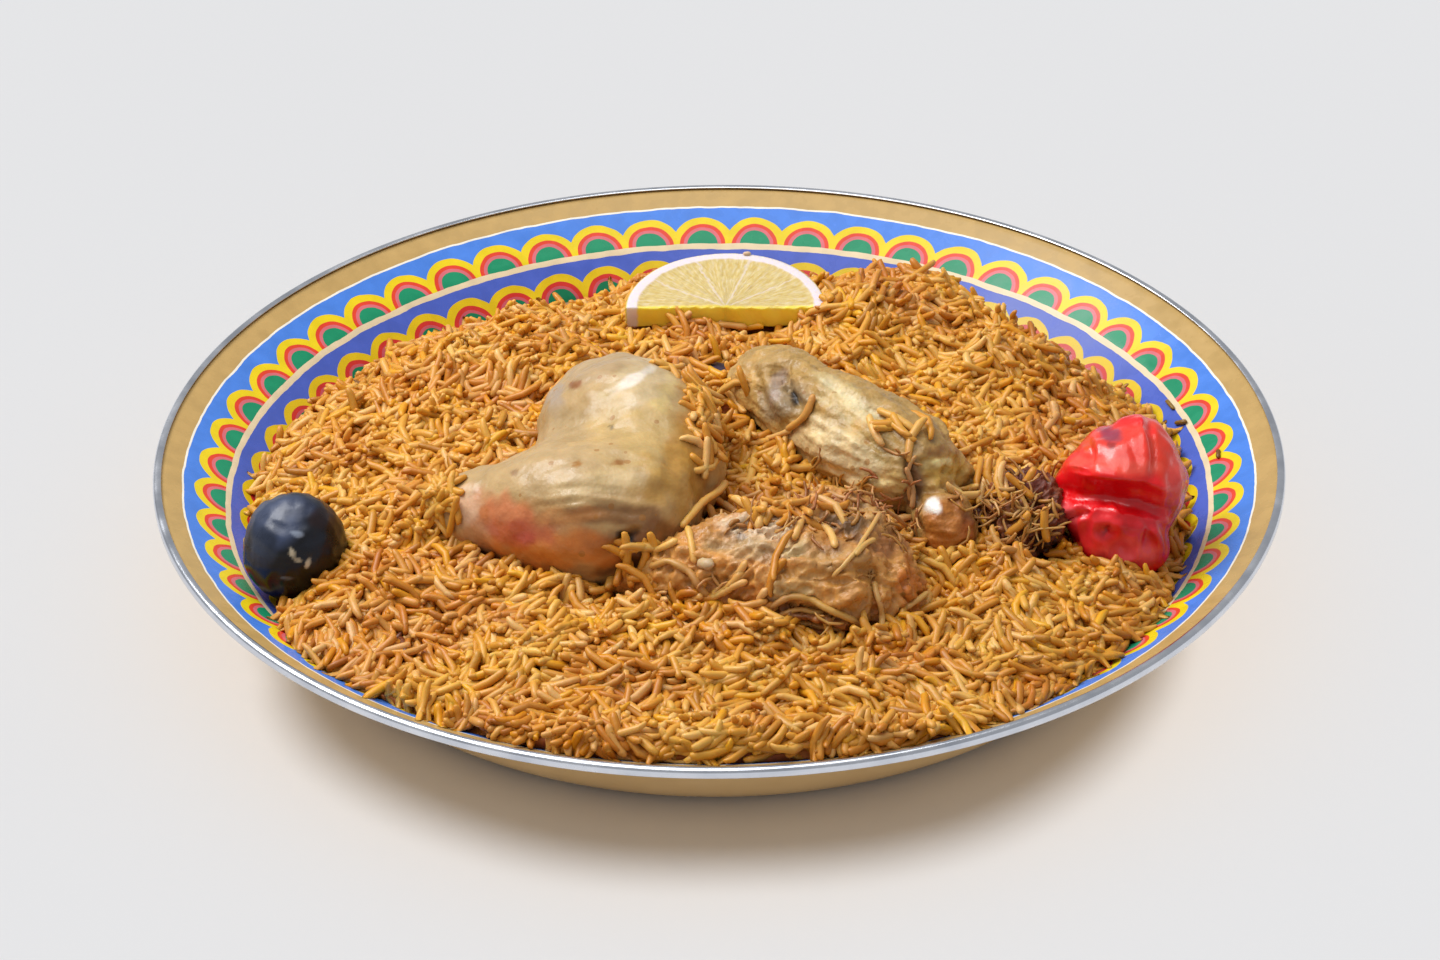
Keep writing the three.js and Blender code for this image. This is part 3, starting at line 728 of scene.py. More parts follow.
# the back top edge in the picture, and how far it is drawn back and up in millimetres
THIGH_BACK_X = (770, 830, 900, 930)
THIGH_BACK_Y = (515, 560)
THIGH_STRETCH = (0.0, 8.0, 1.5)
THIGH_CREASES = [
    ([(790, 512), (825, 522), (860, 540)], 6, -3.3), ([(735, 520), (755, 512), (775, 522)], 4, 1.4),
    ([(725, 535), (750, 528), (780, 540)], 4, -1.4), ([(740, 548), (765, 545), (790, 556)], 4, 1.2),
    ([(775, 560), (830, 566), (880, 556)], 5, 1.4), ([(780, 575), (840, 582), (890, 572)], 4, -1.2),
    ([(870, 560), (876, 595), (872, 625)], 3.5, -1.7), ([(900, 560), (908, 590), (905, 622)], 5, 2.0),
    ([(780, 605), (820, 612), (870, 632)], 4, -2.4), ([(790, 622), (830, 628), (865, 642)], 3.5, -1.8),
    ([(785, 614), (825, 620), (868, 636)], 3, 1.5), ([(650, 545), (690, 550), (730, 565)], 5, 1.2),
]


def make_thigh():
    """The wrinkled piece in front of it, folds across its length."""
    thigh = refined(copy_of("chicken_thigh_right", "stewed_thigh_right"), voxel=0.75, rounds=8)
    points = points_of(thigh.data)
    folds = 1 - np.abs(waves(points * np.array([0.45, 1.0, 1.0]), 8.0, 41))
    small = 1 - np.abs(waves(points * np.array([0.6, 1.0, 1.0]), 3.6, 42))
    pushed(thigh, 0.1 + 0.8 * waves(points, 20.0, 43) + 1.3 * (folds - 0.5) + 0.9 * (small - 0.5)
           + 0.35 * waves(points, 2.4, 44))
    points = points_of(thigh.data)
    x, y, _ = in_picture(points)
    left, full_left, full_right, right = THIGH_BACK_X
    back = smooth_step(x, left, full_left) * (1 - smooth_step(x, full_right, right))
    back *= 1 - smooth_step(y, *THIGH_BACK_Y)
    points += back[:, None] * np.array(THIGH_STRETCH)
    set_points(thigh.data, points)
    creased(thigh, THIGH_CREASES)
    painted(thigh, "#c48944", THIGH_PATCHES, 45, wander=0.3)
    finish = skin_finish("stewed_chicken_skin_wrinkled", 0.4, mottle=(0.72, 1.2), depth=0.4)
    return dress(thigh, finish, "thigh_skin", "chicken_thigh_right")


# Braised meat

MEAT_PATCHES = [
    (1000, 490, 26, 14, 0, "#9b582b", 0.8), (1030, 480, 22, 10, 0, "#70382e", 0.8),
    # the patch at 1048, 548 is a painted shadow under the clump
    (1048, 548, 22, 14, 0, "#240c07", 0.9), (1000, 530, 20, 20, 0, "#935327", 0.7),
    (985, 550, 20, 16, 0, "#793c2e", 0.6), (1020, 510, 20, 12, 0, "#a26234", 0.6),
]


def make_meat():
    """The clump of shredded meat: lumps with shreds on them."""
    meat = refined(copy_of("braised_meat", "braised_meat_clump"), voxel=0.7, rounds=4)
    points = points_of(meat.data)
    lumps = 1 - np.abs(waves(points, 5.0, 51))
    shreds = 1 - np.abs(waves(points * np.array([1.0, 0.5, 1.0]), 2.4, 52))
    pushed(meat, 1.6 * waves(points, 13.0, 53) + 2.2 * (lumps - 0.5) + 0.9 * (shreds - 0.5))
    painted(meat, "#793b1e", MEAT_PATCHES, 54, wander=0.35, swell=4.0)
    finish = skin_finish("braised_meat_fibres", 0.45, mottle=(0.6, 1.25), pore=0.9, depth=0.5)
    return dress(meat, finish, "meat", "braised_meat")


# Lemon: half a slice, its straight edge to the front

LEMON_RADIUS = 31.5
LEMON_THICK = 7.5
LEMON_AT = (2.5, 74.0, RIM_HEIGHT + 0.2)
LEMON_TILT = math.radians(3.5)
PITH_RADIUS = 27.9
PULP_SINK = 0.35
LEMON_SEGMENTS = 10
# how far the segments are turned, as a share of one of them
LEMON_TURN = 0.35
PULP_WALL = 0.9
ZEST_THICK = 0.25
# between these distances behind the straight cut the pulp turns a deeper yellow
FRONT_PULP = (1.2 * MM, 0.2 * MM)
# juice cells: how many streaks to a radian, and how fast they change outward
JUICE_CELLS = (26.0, 0.22)


def lemon_finish():
    """Cut lemon: wet pulp in segments that meet at the middle, white pith, waxy yellow zest."""
    made, tree, shader = new_material("lemon_cut_wet")
    place = add(tree, "TexCoord").outputs["Object"]
    own = add(tree, "Mapping", {"Vector": place, "Location": [c * MM for c in LEMON_AT],
                                "Rotation": (LEMON_TILT, 0.0, 0.0)}, vector_type="TEXTURE")
    parts = add(tree, "SeparateXYZ", {0: own})
    flat = add(tree, "VectorMath", {0: own, 1: (1 / MM, 1 / MM, 0.0)}, operation="MULTIPLY")
    ragged = add(tree, "TexNoise", {"Vector": own, "Scale": 220.0, "Detail": 2.0})
    length = add(tree, "VectorMath", {0: flat}, operation="LENGTH")
    radius = add(tree, "Math", {0: ragged, 1: 1.4, 2: length.outputs["Value"]}, operation="MULTIPLY_ADD")
    angle = add(tree, "Math", {0: parts.outputs["Y"], 1: parts.outputs["X"]}, operation="ARCTAN2")
    turns = add(tree, "Math", {0: angle, 1: LEMON_SEGMENTS / (2 * math.pi), 2: LEMON_TURN},
                operation="MULTIPLY_ADD")
    wander = add(tree, "Math", {0: ragged, 1: 0.25, 2: turns}, operation="MULTIPLY_ADD")
    cell = add(tree, "Math", {0: wander, 1: 1.0}, operation="PINGPONG")
    half = add(tree, "Math", {0: cell, 1: 0.5}, operation="SUBTRACT")
    off = add(tree, "Math", {0: half}, operation="ABSOLUTE")
    gap = add(tree, "Math", {0: off, 1: radius}, operation="MULTIPLY")
    spread = add(tree, "Math", {0: angle, 1: JUICE_CELLS[0]}, operation="MULTIPLY")
    outward = add(tree, "Math", {0: radius, 1: JUICE_CELLS[1]}, operation="MULTIPLY")
    streak = add(tree, "CombineXYZ", {0: spread, 1: outward})
    cells = add(tree, "TexNoise", {"Vector": streak, "Scale": 1.0, "Detail": 3.0})
    pulp = add(tree, "ValToRGB", {0: cells}, stops=[(0.3, "#c1a45c"), (0.5, "#cbb579"), (0.7, "#d5c39c")])
    wall = add(tree, "MapRange", {0: gap, 1: 0.15, 2: PULP_WALL, 3: 0.75, 4: 0.0})
    walled = add(tree, "Mix", {0: wall, 6: pulp, 7: linear("#d8c8b9")}, data_type="RGBA")
    pith = add(tree, "MapRange", {0: radius, 1: PITH_RADIUS, 2: PITH_RADIUS + 0.9})
    pithy = add(tree, "Mix", {0: pith, 6: walled.outputs[2], 7: linear("#dcd1d4")}, data_type="RGBA")
    # the straight cut face shows deeper yellow pulp
    front = add(tree, "MapRange", {0: parts.outputs["Y"], 1: FRONT_PULP[0], 2: FRONT_PULP[1],
                                   3: 0.0, 4: 0.95})
    deep = add(tree, "Mix", {0: front, 6: walled.outputs[2], 7: linear("#f2da46")}, data_type="RGBA")
    cut = add(tree, "Mix", {0: pith, 6: deep.outputs[2], 7: pithy.outputs[2]}, data_type="RGBA")
    rind = add(tree, "MapRange", {0: length.outputs["Value"], 1: LEMON_RADIUS - 3 * ZEST_THICK,
                                  2: LEMON_RADIUS - ZEST_THICK})
    zest = add(tree, "Mix", {0: rind, 6: cut.outputs[2], 7: linear("#ceb64a")}, data_type="RGBA")
    pores = add(tree, "TexVoronoi", {"Vector": place, "Scale": 700.0})
    height = add(tree, "Mix", {0: rind, 2: cells, 3: pores.outputs["Distance"]}, data_type="FLOAT")
    bump = add(tree, "Bump", {"Strength": 0.6, "Distance": 0.4 * MM, "Height": height})
    fill(tree, shader, {"Base Color": zest.outputs[2], "Normal": bump, "Roughness": 0.28, "IOR": 1.38,
                        "Subsurface Weight": 0.35, "Subsurface Radius": (1.0, 0.8, 0.3),
                        "Subsurface Scale": 0.004})
    return made


def make_lemon():
    """Half a slice: pulp a little below the pith, with a rib between segments."""
    outline = [(LEMON_RADIUS * math.cos(a), LEMON_RADIUS * math.sin(a))
               for a in np.linspace(0, math.pi, 97)]
    count = len(outline)
    points = [(x, y, z) for z in (0.0, LEMON_THICK) for x, y in outline]
    faces = [tuple(range(count - 1, -1, -1)), tuple(range(count, 2 * count))]
    faces += [(i, (i + 1) % count, count + (i + 1) % count, count + i) for i in range(count)]
    lemon = refined(new_object("lemon_half_slice", new_mesh("lemon", points, faces)), voxel=0.6, rounds=2)
    own = points_of(lemon.data)
    radius = np.hypot(own[:, 0], own[:, 1])
    pulp = 1 - smooth_step(radius, PITH_RADIUS - 1.5, PITH_RADIUS + 0.3)
    turns = np.arctan2(own[:, 1], own[:, 0]) * LEMON_SEGMENTS / (2 * np.pi) + LEMON_TURN
    gap = np.abs((turns % 1) - 0.5) * radius
    rib = np.exp(-((0.5 * radius - gap) / PULP_WALL) ** 2)
    top = own[:, 2] > LEMON_THICK - 0.5
    own[:, 2] += np.where(top, pulp * (-PULP_SINK + 0.25 * rib + 0.12 * waves(own, 2.2, 61)), 0.0)
    own[:, 2] += 0.35 * waves(own * np.array([1, 1, 0]), 40.0, 62)
    own[:, 1] += 0.25 * waves(own, 6.0, 63) * (own[:, 1] < 0.5)
    turn = np.array(Matrix.Rotation(LEMON_TILT, 3, "X"))
    set_points(lemon.data, own @ turn.T + np.array(LEMON_AT))
    return dress(lemon, lemon_finish(), "lemon", "lemon_slice")


# Red pepper: a stewed bonnet pepper, shaped from its outline as the camera sees it

PEPPER_AT = Vector((117.0, -39.0, RIM_HEIGHT + 3.0))
PEPPER_MIDDLE = (1120.5, 498.0)
PEPPER_DEPTH = 20.0
PEPPER_REACH = 21.0
# powers below 1 make it fuller than a ball: across the picture, and toward the camera
PEPPER_SHOULDER = 0.86
PEPPER_ROUNDNESS = 0.92
# outline: angle in degrees from the right, anticlockwise, and reach in millimetres
PEPPER_OUTLINE = [
    (12.7, 19.8), (34.6, 21.0), (66.0, 24.8), (79.0, 24.9), (97.5, 21.3), (111.8, 21.1), (130.6, 19.0),
    (151.7, 18.7), (163.7, 19.7), (191.5, 19.0), (205.3, 17.7), (219.5, 18.3), (236.8, 23.6),
    (249.5, 24.5), (269.0, 25.0), (291.4, 24.4), (307.6, 22.4), (322.5, 17.2), (343.5, 17.5),
]
PEPPER_PATCHES = [
    (1120, 448, 60, 32, 0, "#e8402e", 0.8), (1110, 488, 56, 13, 0, "#d20008", 1.0),
    (1140, 515, 26, 20, 0, "#b80008", 0.9), (1109, 434, 14, 8, -20, "#86304c", 0.85),
    (1112, 446, 6, 5, 0, "#4a1420", 0.6), (1087, 444, 5, 10, 0, "#e04a0c", 0.9),
    (1110, 560, 44, 24, 0, "#ee2428", 0.6), (1168, 450, 20, 40, 0, "#da3a1e", 0.7),
    (1173, 492, 8, 22, 0, "#b02018", 0.7), (1120, 465, 50, 8, -4, "#f0604c", 0.5),
    # the four pale pinkish patches here and on the next line are painted highlights on the lower lobe
    (1092, 532, 28, 26, 0, "#ee3238", 0.8), (1128, 556, 32, 16, 0, "#fa5a5e", 0.8),
    (1068, 514, 14, 11, 0, "#fa6468", 0.8), (1174, 480, 12, 28, 0, "#f2544c", 0.6),
    (1150, 530, 18, 20, 0, "#d42430", 0.6), (1106, 532, 12, 8, 0, "#c4141e", 0.8),
]
# the deep fold: its line in the picture, where it starts and ends, and how far it stands out in
# millimetres at each number of pixels below its line
PEPPER_FOLD = [(1050, 486), (1085, 497), (1120, 500), (1150, 505), (1172, 512)]
PEPPER_FOLD_ENDS = (1050, 1072, 1158, 1182)
PEPPER_FOLD_SHAPE = [(-44, 0.0), (-26, 1.9), (-21, 2.0), (-14, -1.5), (-2, -5.2), (6, -4.4), (12, -0.6),
                     (24, 1.0), (44, 0.0)]
PEPPER_CREASES = [
    ([(1140, 414), (1144, 440), (1146, 476)], 3.2, 1.1),
    ([(1150, 418), (1154, 445), (1154, 474)], 3.5, -1.1),
    ([(1129, 438), (1135, 458), (1136, 472)], 2.0, -0.5),
    ([(1124, 446), (1128, 462), (1127, 474)], 2.0, 0.4),
    ([(1084, 434), (1088, 446), (1091, 460)], 4.0, -1.6),
    ([(1096, 436), (1098, 456), (1094, 470)], 4.0, 0.6),
    ([(1064, 468), (1072, 466), (1090, 468)], 2.5, 0.8),
    ([(1058, 511), (1072, 509), (1092, 503)], 2.8, 1.1),
    ([(1067, 520), (1078, 516), (1090, 512)], 3.0, -1.2),
    ([(1082, 514), (1081, 530), (1083, 548)], 3.0, 0.9),
    ([(1088, 518), (1098, 508), (1112, 508), (1122, 520)], 3.2, 1.3),
    ([(1104, 530), (1108, 532)], 7.0, -2.4), ([(1093, 522), (1092, 536), (1100, 544)], 2.6, 0.5),
    ([(1122, 522), (1120, 534), (1110, 544)], 3.0, 0.9),
    ([(1106, 545), (1110, 558), (1122, 562), (1136, 558), (1139, 542)], 2.6, 1.0),
    ([(1118, 549), (1128, 549)], 6.0, -1.5), ([(1142, 512), (1150, 526), (1146, 548)], 5.0, -1.3),
    ([(1152, 530), (1160, 540), (1160, 556)], 3.5, 0.9),
    ([(1168, 470), (1172, 490), (1168, 506)], 4.0, -0.9), ([(1176, 466), (1180, 484)], 3.0, 0.6),
    ([(1078, 560), (1092, 564), (1104, 572)], 4.0, -0.5),
]


def pepper_finish():
    """Thin stewed pepper skin, wet and glossy: deep red where light comes through."""
    made, tree, shader = new_material("red_pepper_skin_wet")
    place, mottled, _ = toned(tree, 120.0, 3.0, 0.86, 1.1)
    fine = add(tree, "TexNoise", {"Vector": place, "Scale": 330.0, "Detail": 3.0})
    bump = add(tree, "Bump", {"Strength": 0.5, "Distance": 0.4 * MM, "Height": fine})
    fill(tree, shader, {"Base Color": mottled, "Normal": bump, "Roughness": 0.27, "IOR": 1.45,
                        "Subsurface Weight": 0.2, "Subsurface Radius": (1.0, 0.1, 0.06),
                        "Subsurface Scale": 0.003, "Coat Weight": 0.25, "Coat Roughness": 0.08})
    return made


def pepper_reach(angles):
    """The outline's rounded reach at each angle."""
    turns, reach = zip(*PEPPER_OUTLINE)
    fine = np.interp(np.arange(360), turns, reach, period=360)
    fine = [np.take(fine, range(a - 4, a + 5), mode="wrap").mean() for a in range(360)]
    return np.interp(angles, np.arange(360), fine, period=360)


def folded(points, nearness):
    """Pushes the deep fold in: an overhanging lip above, a gentler lobe below."""
    x, y, _ = in_picture(points)
    off = y - np.interp(x, *zip(*PEPPER_FOLD))
    shape = np.interp(off, *zip(*PEPPER_FOLD_SHAPE))
    left, full_left, full_right, right = PEPPER_FOLD_ENDS
    ends = smooth_step(x, left, full_left) * (1 - smooth_step(x, full_right, right))
    return points - np.array(AHEAD) * (shape * np.clip(nearness * 2.5, 0, 1) * ends)[:, None]


def make_pepper():
    """The whole pepper: a ball drawn out to its outline, folded and creased."""
    ball = bmesh.new()
    bmesh.ops.create_icosphere(ball, subdivisions=6, radius=1.0)
    mesh = bpy.data.meshes.new("pepper")
    ball.to_mesh(mesh)
    ball.free()
    smooth_shaded(mesh)
    unit = points_of(mesh) * MM
    outline = pepper_reach(np.degrees(np.arctan2(unit[:, 1], unit[:, 0])) % 360)
    flat = np.hypot(unit[:, 0], unit[:, 1])
    # a middle reach where the outline doesn't show
    full = flat ** PEPPER_SHOULDER
    mixed = outline * smooth_step(flat, 0.2, 0.9) + PEPPER_REACH * (1 - smooth_step(flat, 0.2, 0.9))
    scale = np.where(flat > 1e-6, full / np.maximum(flat, 1e-6), 0.0) * mixed
    depth = np.sign(unit[:, 2]) * np.abs(unit[:, 2]) ** PEPPER_ROUNDNESS * PEPPER_DEPTH
    ahead = (PEPPER_AT * MM - EYE).dot(AHEAD)
    middle = EYE + AHEAD * ahead
    middle += RIGHT * (ahead * (PEPPER_MIDDLE[0] - PICTURE[0] / 2) / FOCAL_PX)
    middle += UP * (ahead * (PICTURE[1] / 2 - PEPPER_MIDDLE[1]) / FOCAL_PX)
    points = np.array(middle) / MM + (unit[:, :1] * scale[:, None]) * np.array(RIGHT)
    points += (unit[:, 1:2] * scale[:, None]) * np.array(UP) - depth[:, None] * np.array(AHEAD)
    points = folded(points, unit[:, 2])
    set_points(mesh, points)
    pepper = new_object("red_pepper_whole", mesh)
    creased(pepper, PEPPER_CREASES)
    pushed(pepper, 0.5 * waves(points, 16.0, 71) + 0.25 * waves(points, 7.0, 72))
    painted(pepper, "#e20e16", PEPPER_PATCHES, 73)
    return dress(pepper, pepper_finish(), "pepper", "red_pepper")


# Black lime and black olive

def dark_fruit_finish(name, roughness, fleck):
    """Dark fruit skin with a natural wax: nearly black; the lime's cool broad sheen is a painted
    reflection in its tone.
    """
    made, tree, shader = new_material(name)
    place, mottled, cloud = toned(tree, 140.0, 5.0, 0.7, 1.25)
    fine = add(tree, "TexNoise", {"Vector": place, "Scale": fleck, "Detail": 4.0})
    bump = add(tree, "Bump", {"Strength": 0.5, "Distance": 0.4 * MM, "Height": fine})
    gloss = add(tree, "MapRange", {0: cloud, 1: NOISE_LOW, 2: NOISE_HIGH, 3: roughness - 0.05,
                                   4: roughness + 0.08})
    fill(tree, shader, {"Base Color": mottled, "Normal": bump, "Roughness": gloss, "IOR": 1.42})
    return made


LIME_PATCHES = [
    # the blue-grey patches at 276, 524, 262, 548 and 300, 508 are a broad painted reflection on the top
    (276, 524, 34, 30, 30, "#39435c", 0.95), (262, 548, 14, 26, 0, "#252c3c", 0.8),
    (300, 508, 24, 12, 0, "#30384e", 0.8), (322, 520, 14, 16, 0, "#241619", 0.8),
    # the patch at 298, 534 is a painted highlight
    (314, 545, 18, 22, 0, "#181c28", 0.8), (298, 534, 7, 4, -20, "#8d97a8", 0.6),
    (292, 553, 3, 6, 15, "#cfc4a8", 0.9), (298, 560, 4, 3, 0, "#b8ab90", 0.8),
    (308, 563, 3, 6, -25, "#b8ae98", 0.9), (287, 578, 7, 2, 0, "#5a6068", 0.8),
]
OLIVE_PATCHES = [(716, 368, 16, 7, 0, "#3d3346", 0.8)]


def make_dark_fruit():
    """The black lime and the black olive, hardly uneven."""
    lime = refined(copy_of("black_lime", "black_lime_whole"), voxel=0.6, rounds=10)
    points = points_of(lime.data)
    pushed(lime, 0.25 + 0.22 * waves(points, 14.0, 81) + 0.12 * waves(points, 5.0, 82))
    painted(lime, "#08080b", LIME_PATCHES, 84, wander=0.15)
    finish = dark_fruit_finish("black_lime_rind", 0.3, 260.0)
    dress(lime, finish, "lime", "black_lime")
    olive = refined(copy_of("black_olive", "black_olive_whole"), voxel=0.5, rounds=8)
    points = points_of(olive.data)
    pushed(olive, 0.2 + 0.12 * waves(points, 6.0, 83))
    painted(olive, "#1a1320", OLIVE_PATCHES, 85)
    finish = dark_fruit_finish("black_olive_skin", 0.32, 420.0)
    dress(olive, finish, "olive", "black_olive")
    return lime, olive


whole_food = [make_left_leg(), make_right_leg(), make_thigh(), make_meat(), make_lemon(), make_pepper(),
              *make_dark_fruit()]


# Rice

GRAINS_PER_MM2 = 0.205
HEAP_VOXEL = 1.7
CORE_DEPTH = 2.3
WALL_GAP = 0.12
HEAP_OVER_WALL = 1.5
# between these radii the broad swells die away
HEAP_EDGE = (112, 132)
# between these distances to the front the heap comes to reach a little further out
HEAP_FRONT = (50, 115)
HEAP_FRONT_GROWTH = 0.026
# a surface faces up where its normal's height is at least this
FACES_UP = 0.2
# rice closer than this to a piece of food bears no loose grains
FOOD_GAP = 1.2

# Cooked long grains: length, width and bend in millimetres, and how far the far half bends back
GRAIN_SHAPES = [
    (12.0, 2.7, 0.9, 0.0), (10.5, 2.8, 1.4, 0.3), (13.5, 2.6, 2.3, 0.0), (9.5, 2.9, 0.5, -0.3),
    (15.0, 2.5, 3.2, 0.6), (12.5, 2.7, 2.5, -0.9), (8.5, 2.8, 0.9, 0.0), (13.0, 2.6, 1.3, 1.0),
]
GRAIN_STATIONS = [(-0.47, 0.7), (-0.35, 0.98), (0.0, 1.0), (0.35, 0.96), (0.47, 0.68)]
GRAIN_SIDES = 6
GRAIN_FLATNESS = 0.86
# how much longer or shorter than its shape a grain may be
GRAIN_STRETCH = (0.8, 1.25)
STOCK_SHARE = 0.3
STOCK_PATCH = 33.0

# Kinds of grain: share of the heap, and their darkest, middle and palest colour
RICE_KINDS = [
    ("golden", 0.22, ("#c57e23", "#d49236", "#e1a950")),
    ("honey", 0.22, ("#c88427", "#d79b39", "#e3b059")),
    ("amber", 0.18, ("#b66f19", "#c78225", "#d39539")),
    ("pale", 0.19, ("#ca9443", "#d9a75b", "#e5ba77")),
    ("saffron", 0.1, ("#cd8207", "#db9510", "#e5ab23")),
    ("brown", 0.09, ("#9a5a10", "#ae6f1b", "#c0822e")),
]


def grain_mesh(length, width, bend, back):
    """A grain along X: blunt ends, a little flatter than wide, curved sideways."""
    def middle(t):
        return (t * length, bend * (2 * t) ** 2 - bend / 3, back * (2 * t) ** 3)
    points, faces = [middle(-0.5)], []
    for t, girth in GRAIN_STATIONS:
        x, y, z = middle(t)
        for i in range(GRAIN_SIDES):
            a = 2 * math.pi * i / GRAIN_SIDES
            half = width / 2 * girth
            points.append((x, y + half * math.cos(a), z + half * GRAIN_FLATNESS * math.sin(a)))
    points.append(middle(0.5))
    last = len(points) - 1
    for i in range(GRAIN_SIDES):
        j = (i + 1) % GRAIN_SIDES
        faces.append((0, 1 + j, 1 + i))
        for k in range(len(GRAIN_STATIONS) - 1):
            low = 1 + k * GRAIN_SIDES
            faces.append((low + i, low + j, low + GRAIN_SIDES + j, low + GRAIN_SIDES + i))
        low = last - GRAIN_SIDES
        faces.append((low + i, low + j, last))
    return new_mesh("grain", points, faces)


def strewing_tree():
    """Strews the shapes of a collection over a surface, where its "open" attribute lets it."""
    tree = bpy.data.node_groups.new("strewing", "GeometryNodeTree")
    for name, kind in (
        ("Surface", "Geometry"), ("Shapes", "Collection"), ("Finish", "Material"),
        ("Grains per square metre", "Float"), ("Seed", "Int"), ("Lowest", "Float"),
        ("Highest", "Float"), ("Tilt", "Float"), ("Straying", "Float"), ("Bundle size", "Float"),
        ("Bundle lift", "Float"),
    ):
        tree.interface.new_socket(name, in_out="INPUT", socket_type="NodeSocket" + kind)
    tree.interface.new_socket("Strewn", in_out="OUTPUT", socket_type="NodeSocketGeometry")
    given = add(tree, "NodeGroupInput").outputs
    open_ = add(tree, "GeometryNodeInputNamedAttribute", {"Name": "open"}, data_type="FLOAT")
    density = add(tree, "Math", {0: given["Grains per square metre"], 1: open_}, operation="MULTIPLY")
    spots = add(tree, "GeometryNodeDistributePointsOnFaces",
                {"Mesh": given["Surface"], "Density": density, "Seed": given["Seed"]},
                distribute_method="RANDOM")
    below = add(tree, "Math", {0: given["Straying"], 1: -1.0}, operation="MULTIPLY")
    low_tilt = add(tree, "Math", {0: given["Tilt"], 1: -1.0}, operation="MULTIPLY")
    chances = []
    for step, (least, most) in enumerate((
        (given["Lowest"], given["Highest"]), (below, given["Straying"]), (low_tilt, given["Tilt"]),
        (-1.0, 1.0), GRAIN_STRETCH, (0.0, 1.0),
    )):
        seed = add(tree, "Math", {0: given["Seed"], 1: step + 1}, operation="ADD")
        chance = add(tree, "FunctionNodeRandomValue", {2: least, 3: most, "Seed": seed},
                     data_type="FLOAT")
        chances.append(chance.outputs[1])
    lift, stray, tilt, roll, long, tint = chances
    # neighbours lie in bundles: one heading and one height for each, plus a straying of their own
    where = add(tree, "GeometryNodeInputPosition")
    swell = add(tree, "Math", {0: 1.0, 1: given["Bundle size"]}, operation="DIVIDE")
    bundle = add(tree, "TexVoronoi", {"Vector": where, "Scale": swell})
    own = add(tree, "FunctionNodeSeparateColor", {0: bundle.outputs["Color"]})
    heading = add(tree, "Math", {0: own, 1: 2 * math.pi}, operation="MULTIPLY")
    raised = add(tree, "Math", {0: own.outputs[1], 1: given["Bundle lift"], 2: lift},
                 operation="MULTIPLY_ADD")
    offset = add(tree, "VectorMath", {0: spots.outputs["Normal"], "Scale": raised}, operation="SCALE")
    lifted = add(tree, "GeometryNodeSetPosition",
                 {"Geometry": spots.outputs["Points"], "Offset": offset})
    # each turned about the surface's normal, then leant
    spin = add(tree, "Math", {0: heading, 1: stray}, operation="ADD")
    spun = add(tree, "FunctionNodeEulerToRotation", {0: add(tree, "CombineXYZ", {2: spin})})
    leant = add(tree, "FunctionNodeEulerToRotation", {0: add(tree, "CombineXYZ", {0: roll, 1: tilt})})
    way = spots.outputs["Rotation"]
    for turn in (spun, leant):
        way = add(tree, "FunctionNodeRotateRotation", {0: way, 1: turn}, rotation_space="LOCAL")
    scale = add(tree, "CombineXYZ", {0: long, 1: 1.0, 2: 1.0})
    tinted = add(tree, "GeometryNodeStoreNamedAttribute",
                 {"Geometry": lifted, "Name": "tint", "Value": tint}, data_type="FLOAT", domain="POINT")
    shapes = add(tree, "GeometryNodeCollectionInfo",
                 {"Collection": given["Shapes"], "Separate Children": True, "Reset Children": True})
    laid_out = add(tree, "GeometryNodeInstanceOnPoints",
                   {"Points": tinted, "Instance": shapes, "Pick Instance": True, "Rotation": way,
                    "Scale": scale})
    real = add(tree, "GeometryNodeRealizeInstances", {"Geometry": laid_out})
    done = add(tree, "GeometryNodeSetMaterial", {"Geometry": real, "Material": given["Finish"]})
    add(tree, "NodeGroupOutput", {"Strewn": done})
    return tree


def strewn(name, surface, tree, **inputs):
    """The surface's strewn pieces as one plain mesh object."""
    layer = new_object(name, surface.data.copy())
    modifier = layer.modifiers.new("strewing", "NODES")
    modifier.node_group = tree
    keys = {s.name: s.identifier for s in tree.interface.items_tree if s.in_out == "INPUT"}
    for key, value in inputs.items():
        modifier[keys[key.replace("_", " ")]] = value
    return evaluated(layer)


def rice_finish(name, colours):
    """Cooked rice, moist with stock: soft waxy sheen, every grain its own shade."""
    made, tree, shader = new_material(name)
    place = add(tree, "TexCoord").outputs["Object"]
    tint = add(tree, "Attribute", attribute_name="tint")
    stain = add(tree, "TexNoise", {"Vector": place, "Scale": 130.0, "Detail": 3.0})
    both = add(tree, "Math", {0: stain, 1: 0.8, 2: -0.4}, operation="MULTIPLY_ADD")
    level = add(tree, "Math", {0: both, 1: tint.outputs["Fac"]}, operation="ADD")
    ramp = add(tree, "ValToRGB", {0: level}, stops=list(zip((0.0, 0.5, 1.0), colours)))
    # the stock has coloured the heap unevenly, in patches about 30 mm across
    patch = add(tree, "TexNoise", {"Vector": place, "Scale": STOCK_PATCH, "Detail": 2.0})
    stock = add(tree, "ValToRGB", {0: patch}, stops=[(0.38, "#dcaa34"), (0.62, "#ac540c")])
    dyed = add(tree, "Mix", {0: STOCK_SHARE, 6: ramp, 7: stock}, data_type="RGBA")
    fine = add(tree, "TexNoise", {"Vector": place, "Scale": 900.0, "Detail": 2.0})
    bump = add(tree, "Bump", {"Strength": 0.35, "Distance": 0.3 * MM, "Height": fine})
    fill(tree, shader, {"Base Color": dyed.outputs[2], "Normal": bump, "Roughness": 0.38, "IOR": 1.42,
                        "Subsurface Weight": 0.25, "Subsurface Radius": (1.0, 0.45, 0.12),
                        "Subsurface Scale": 0.0015})
    return made


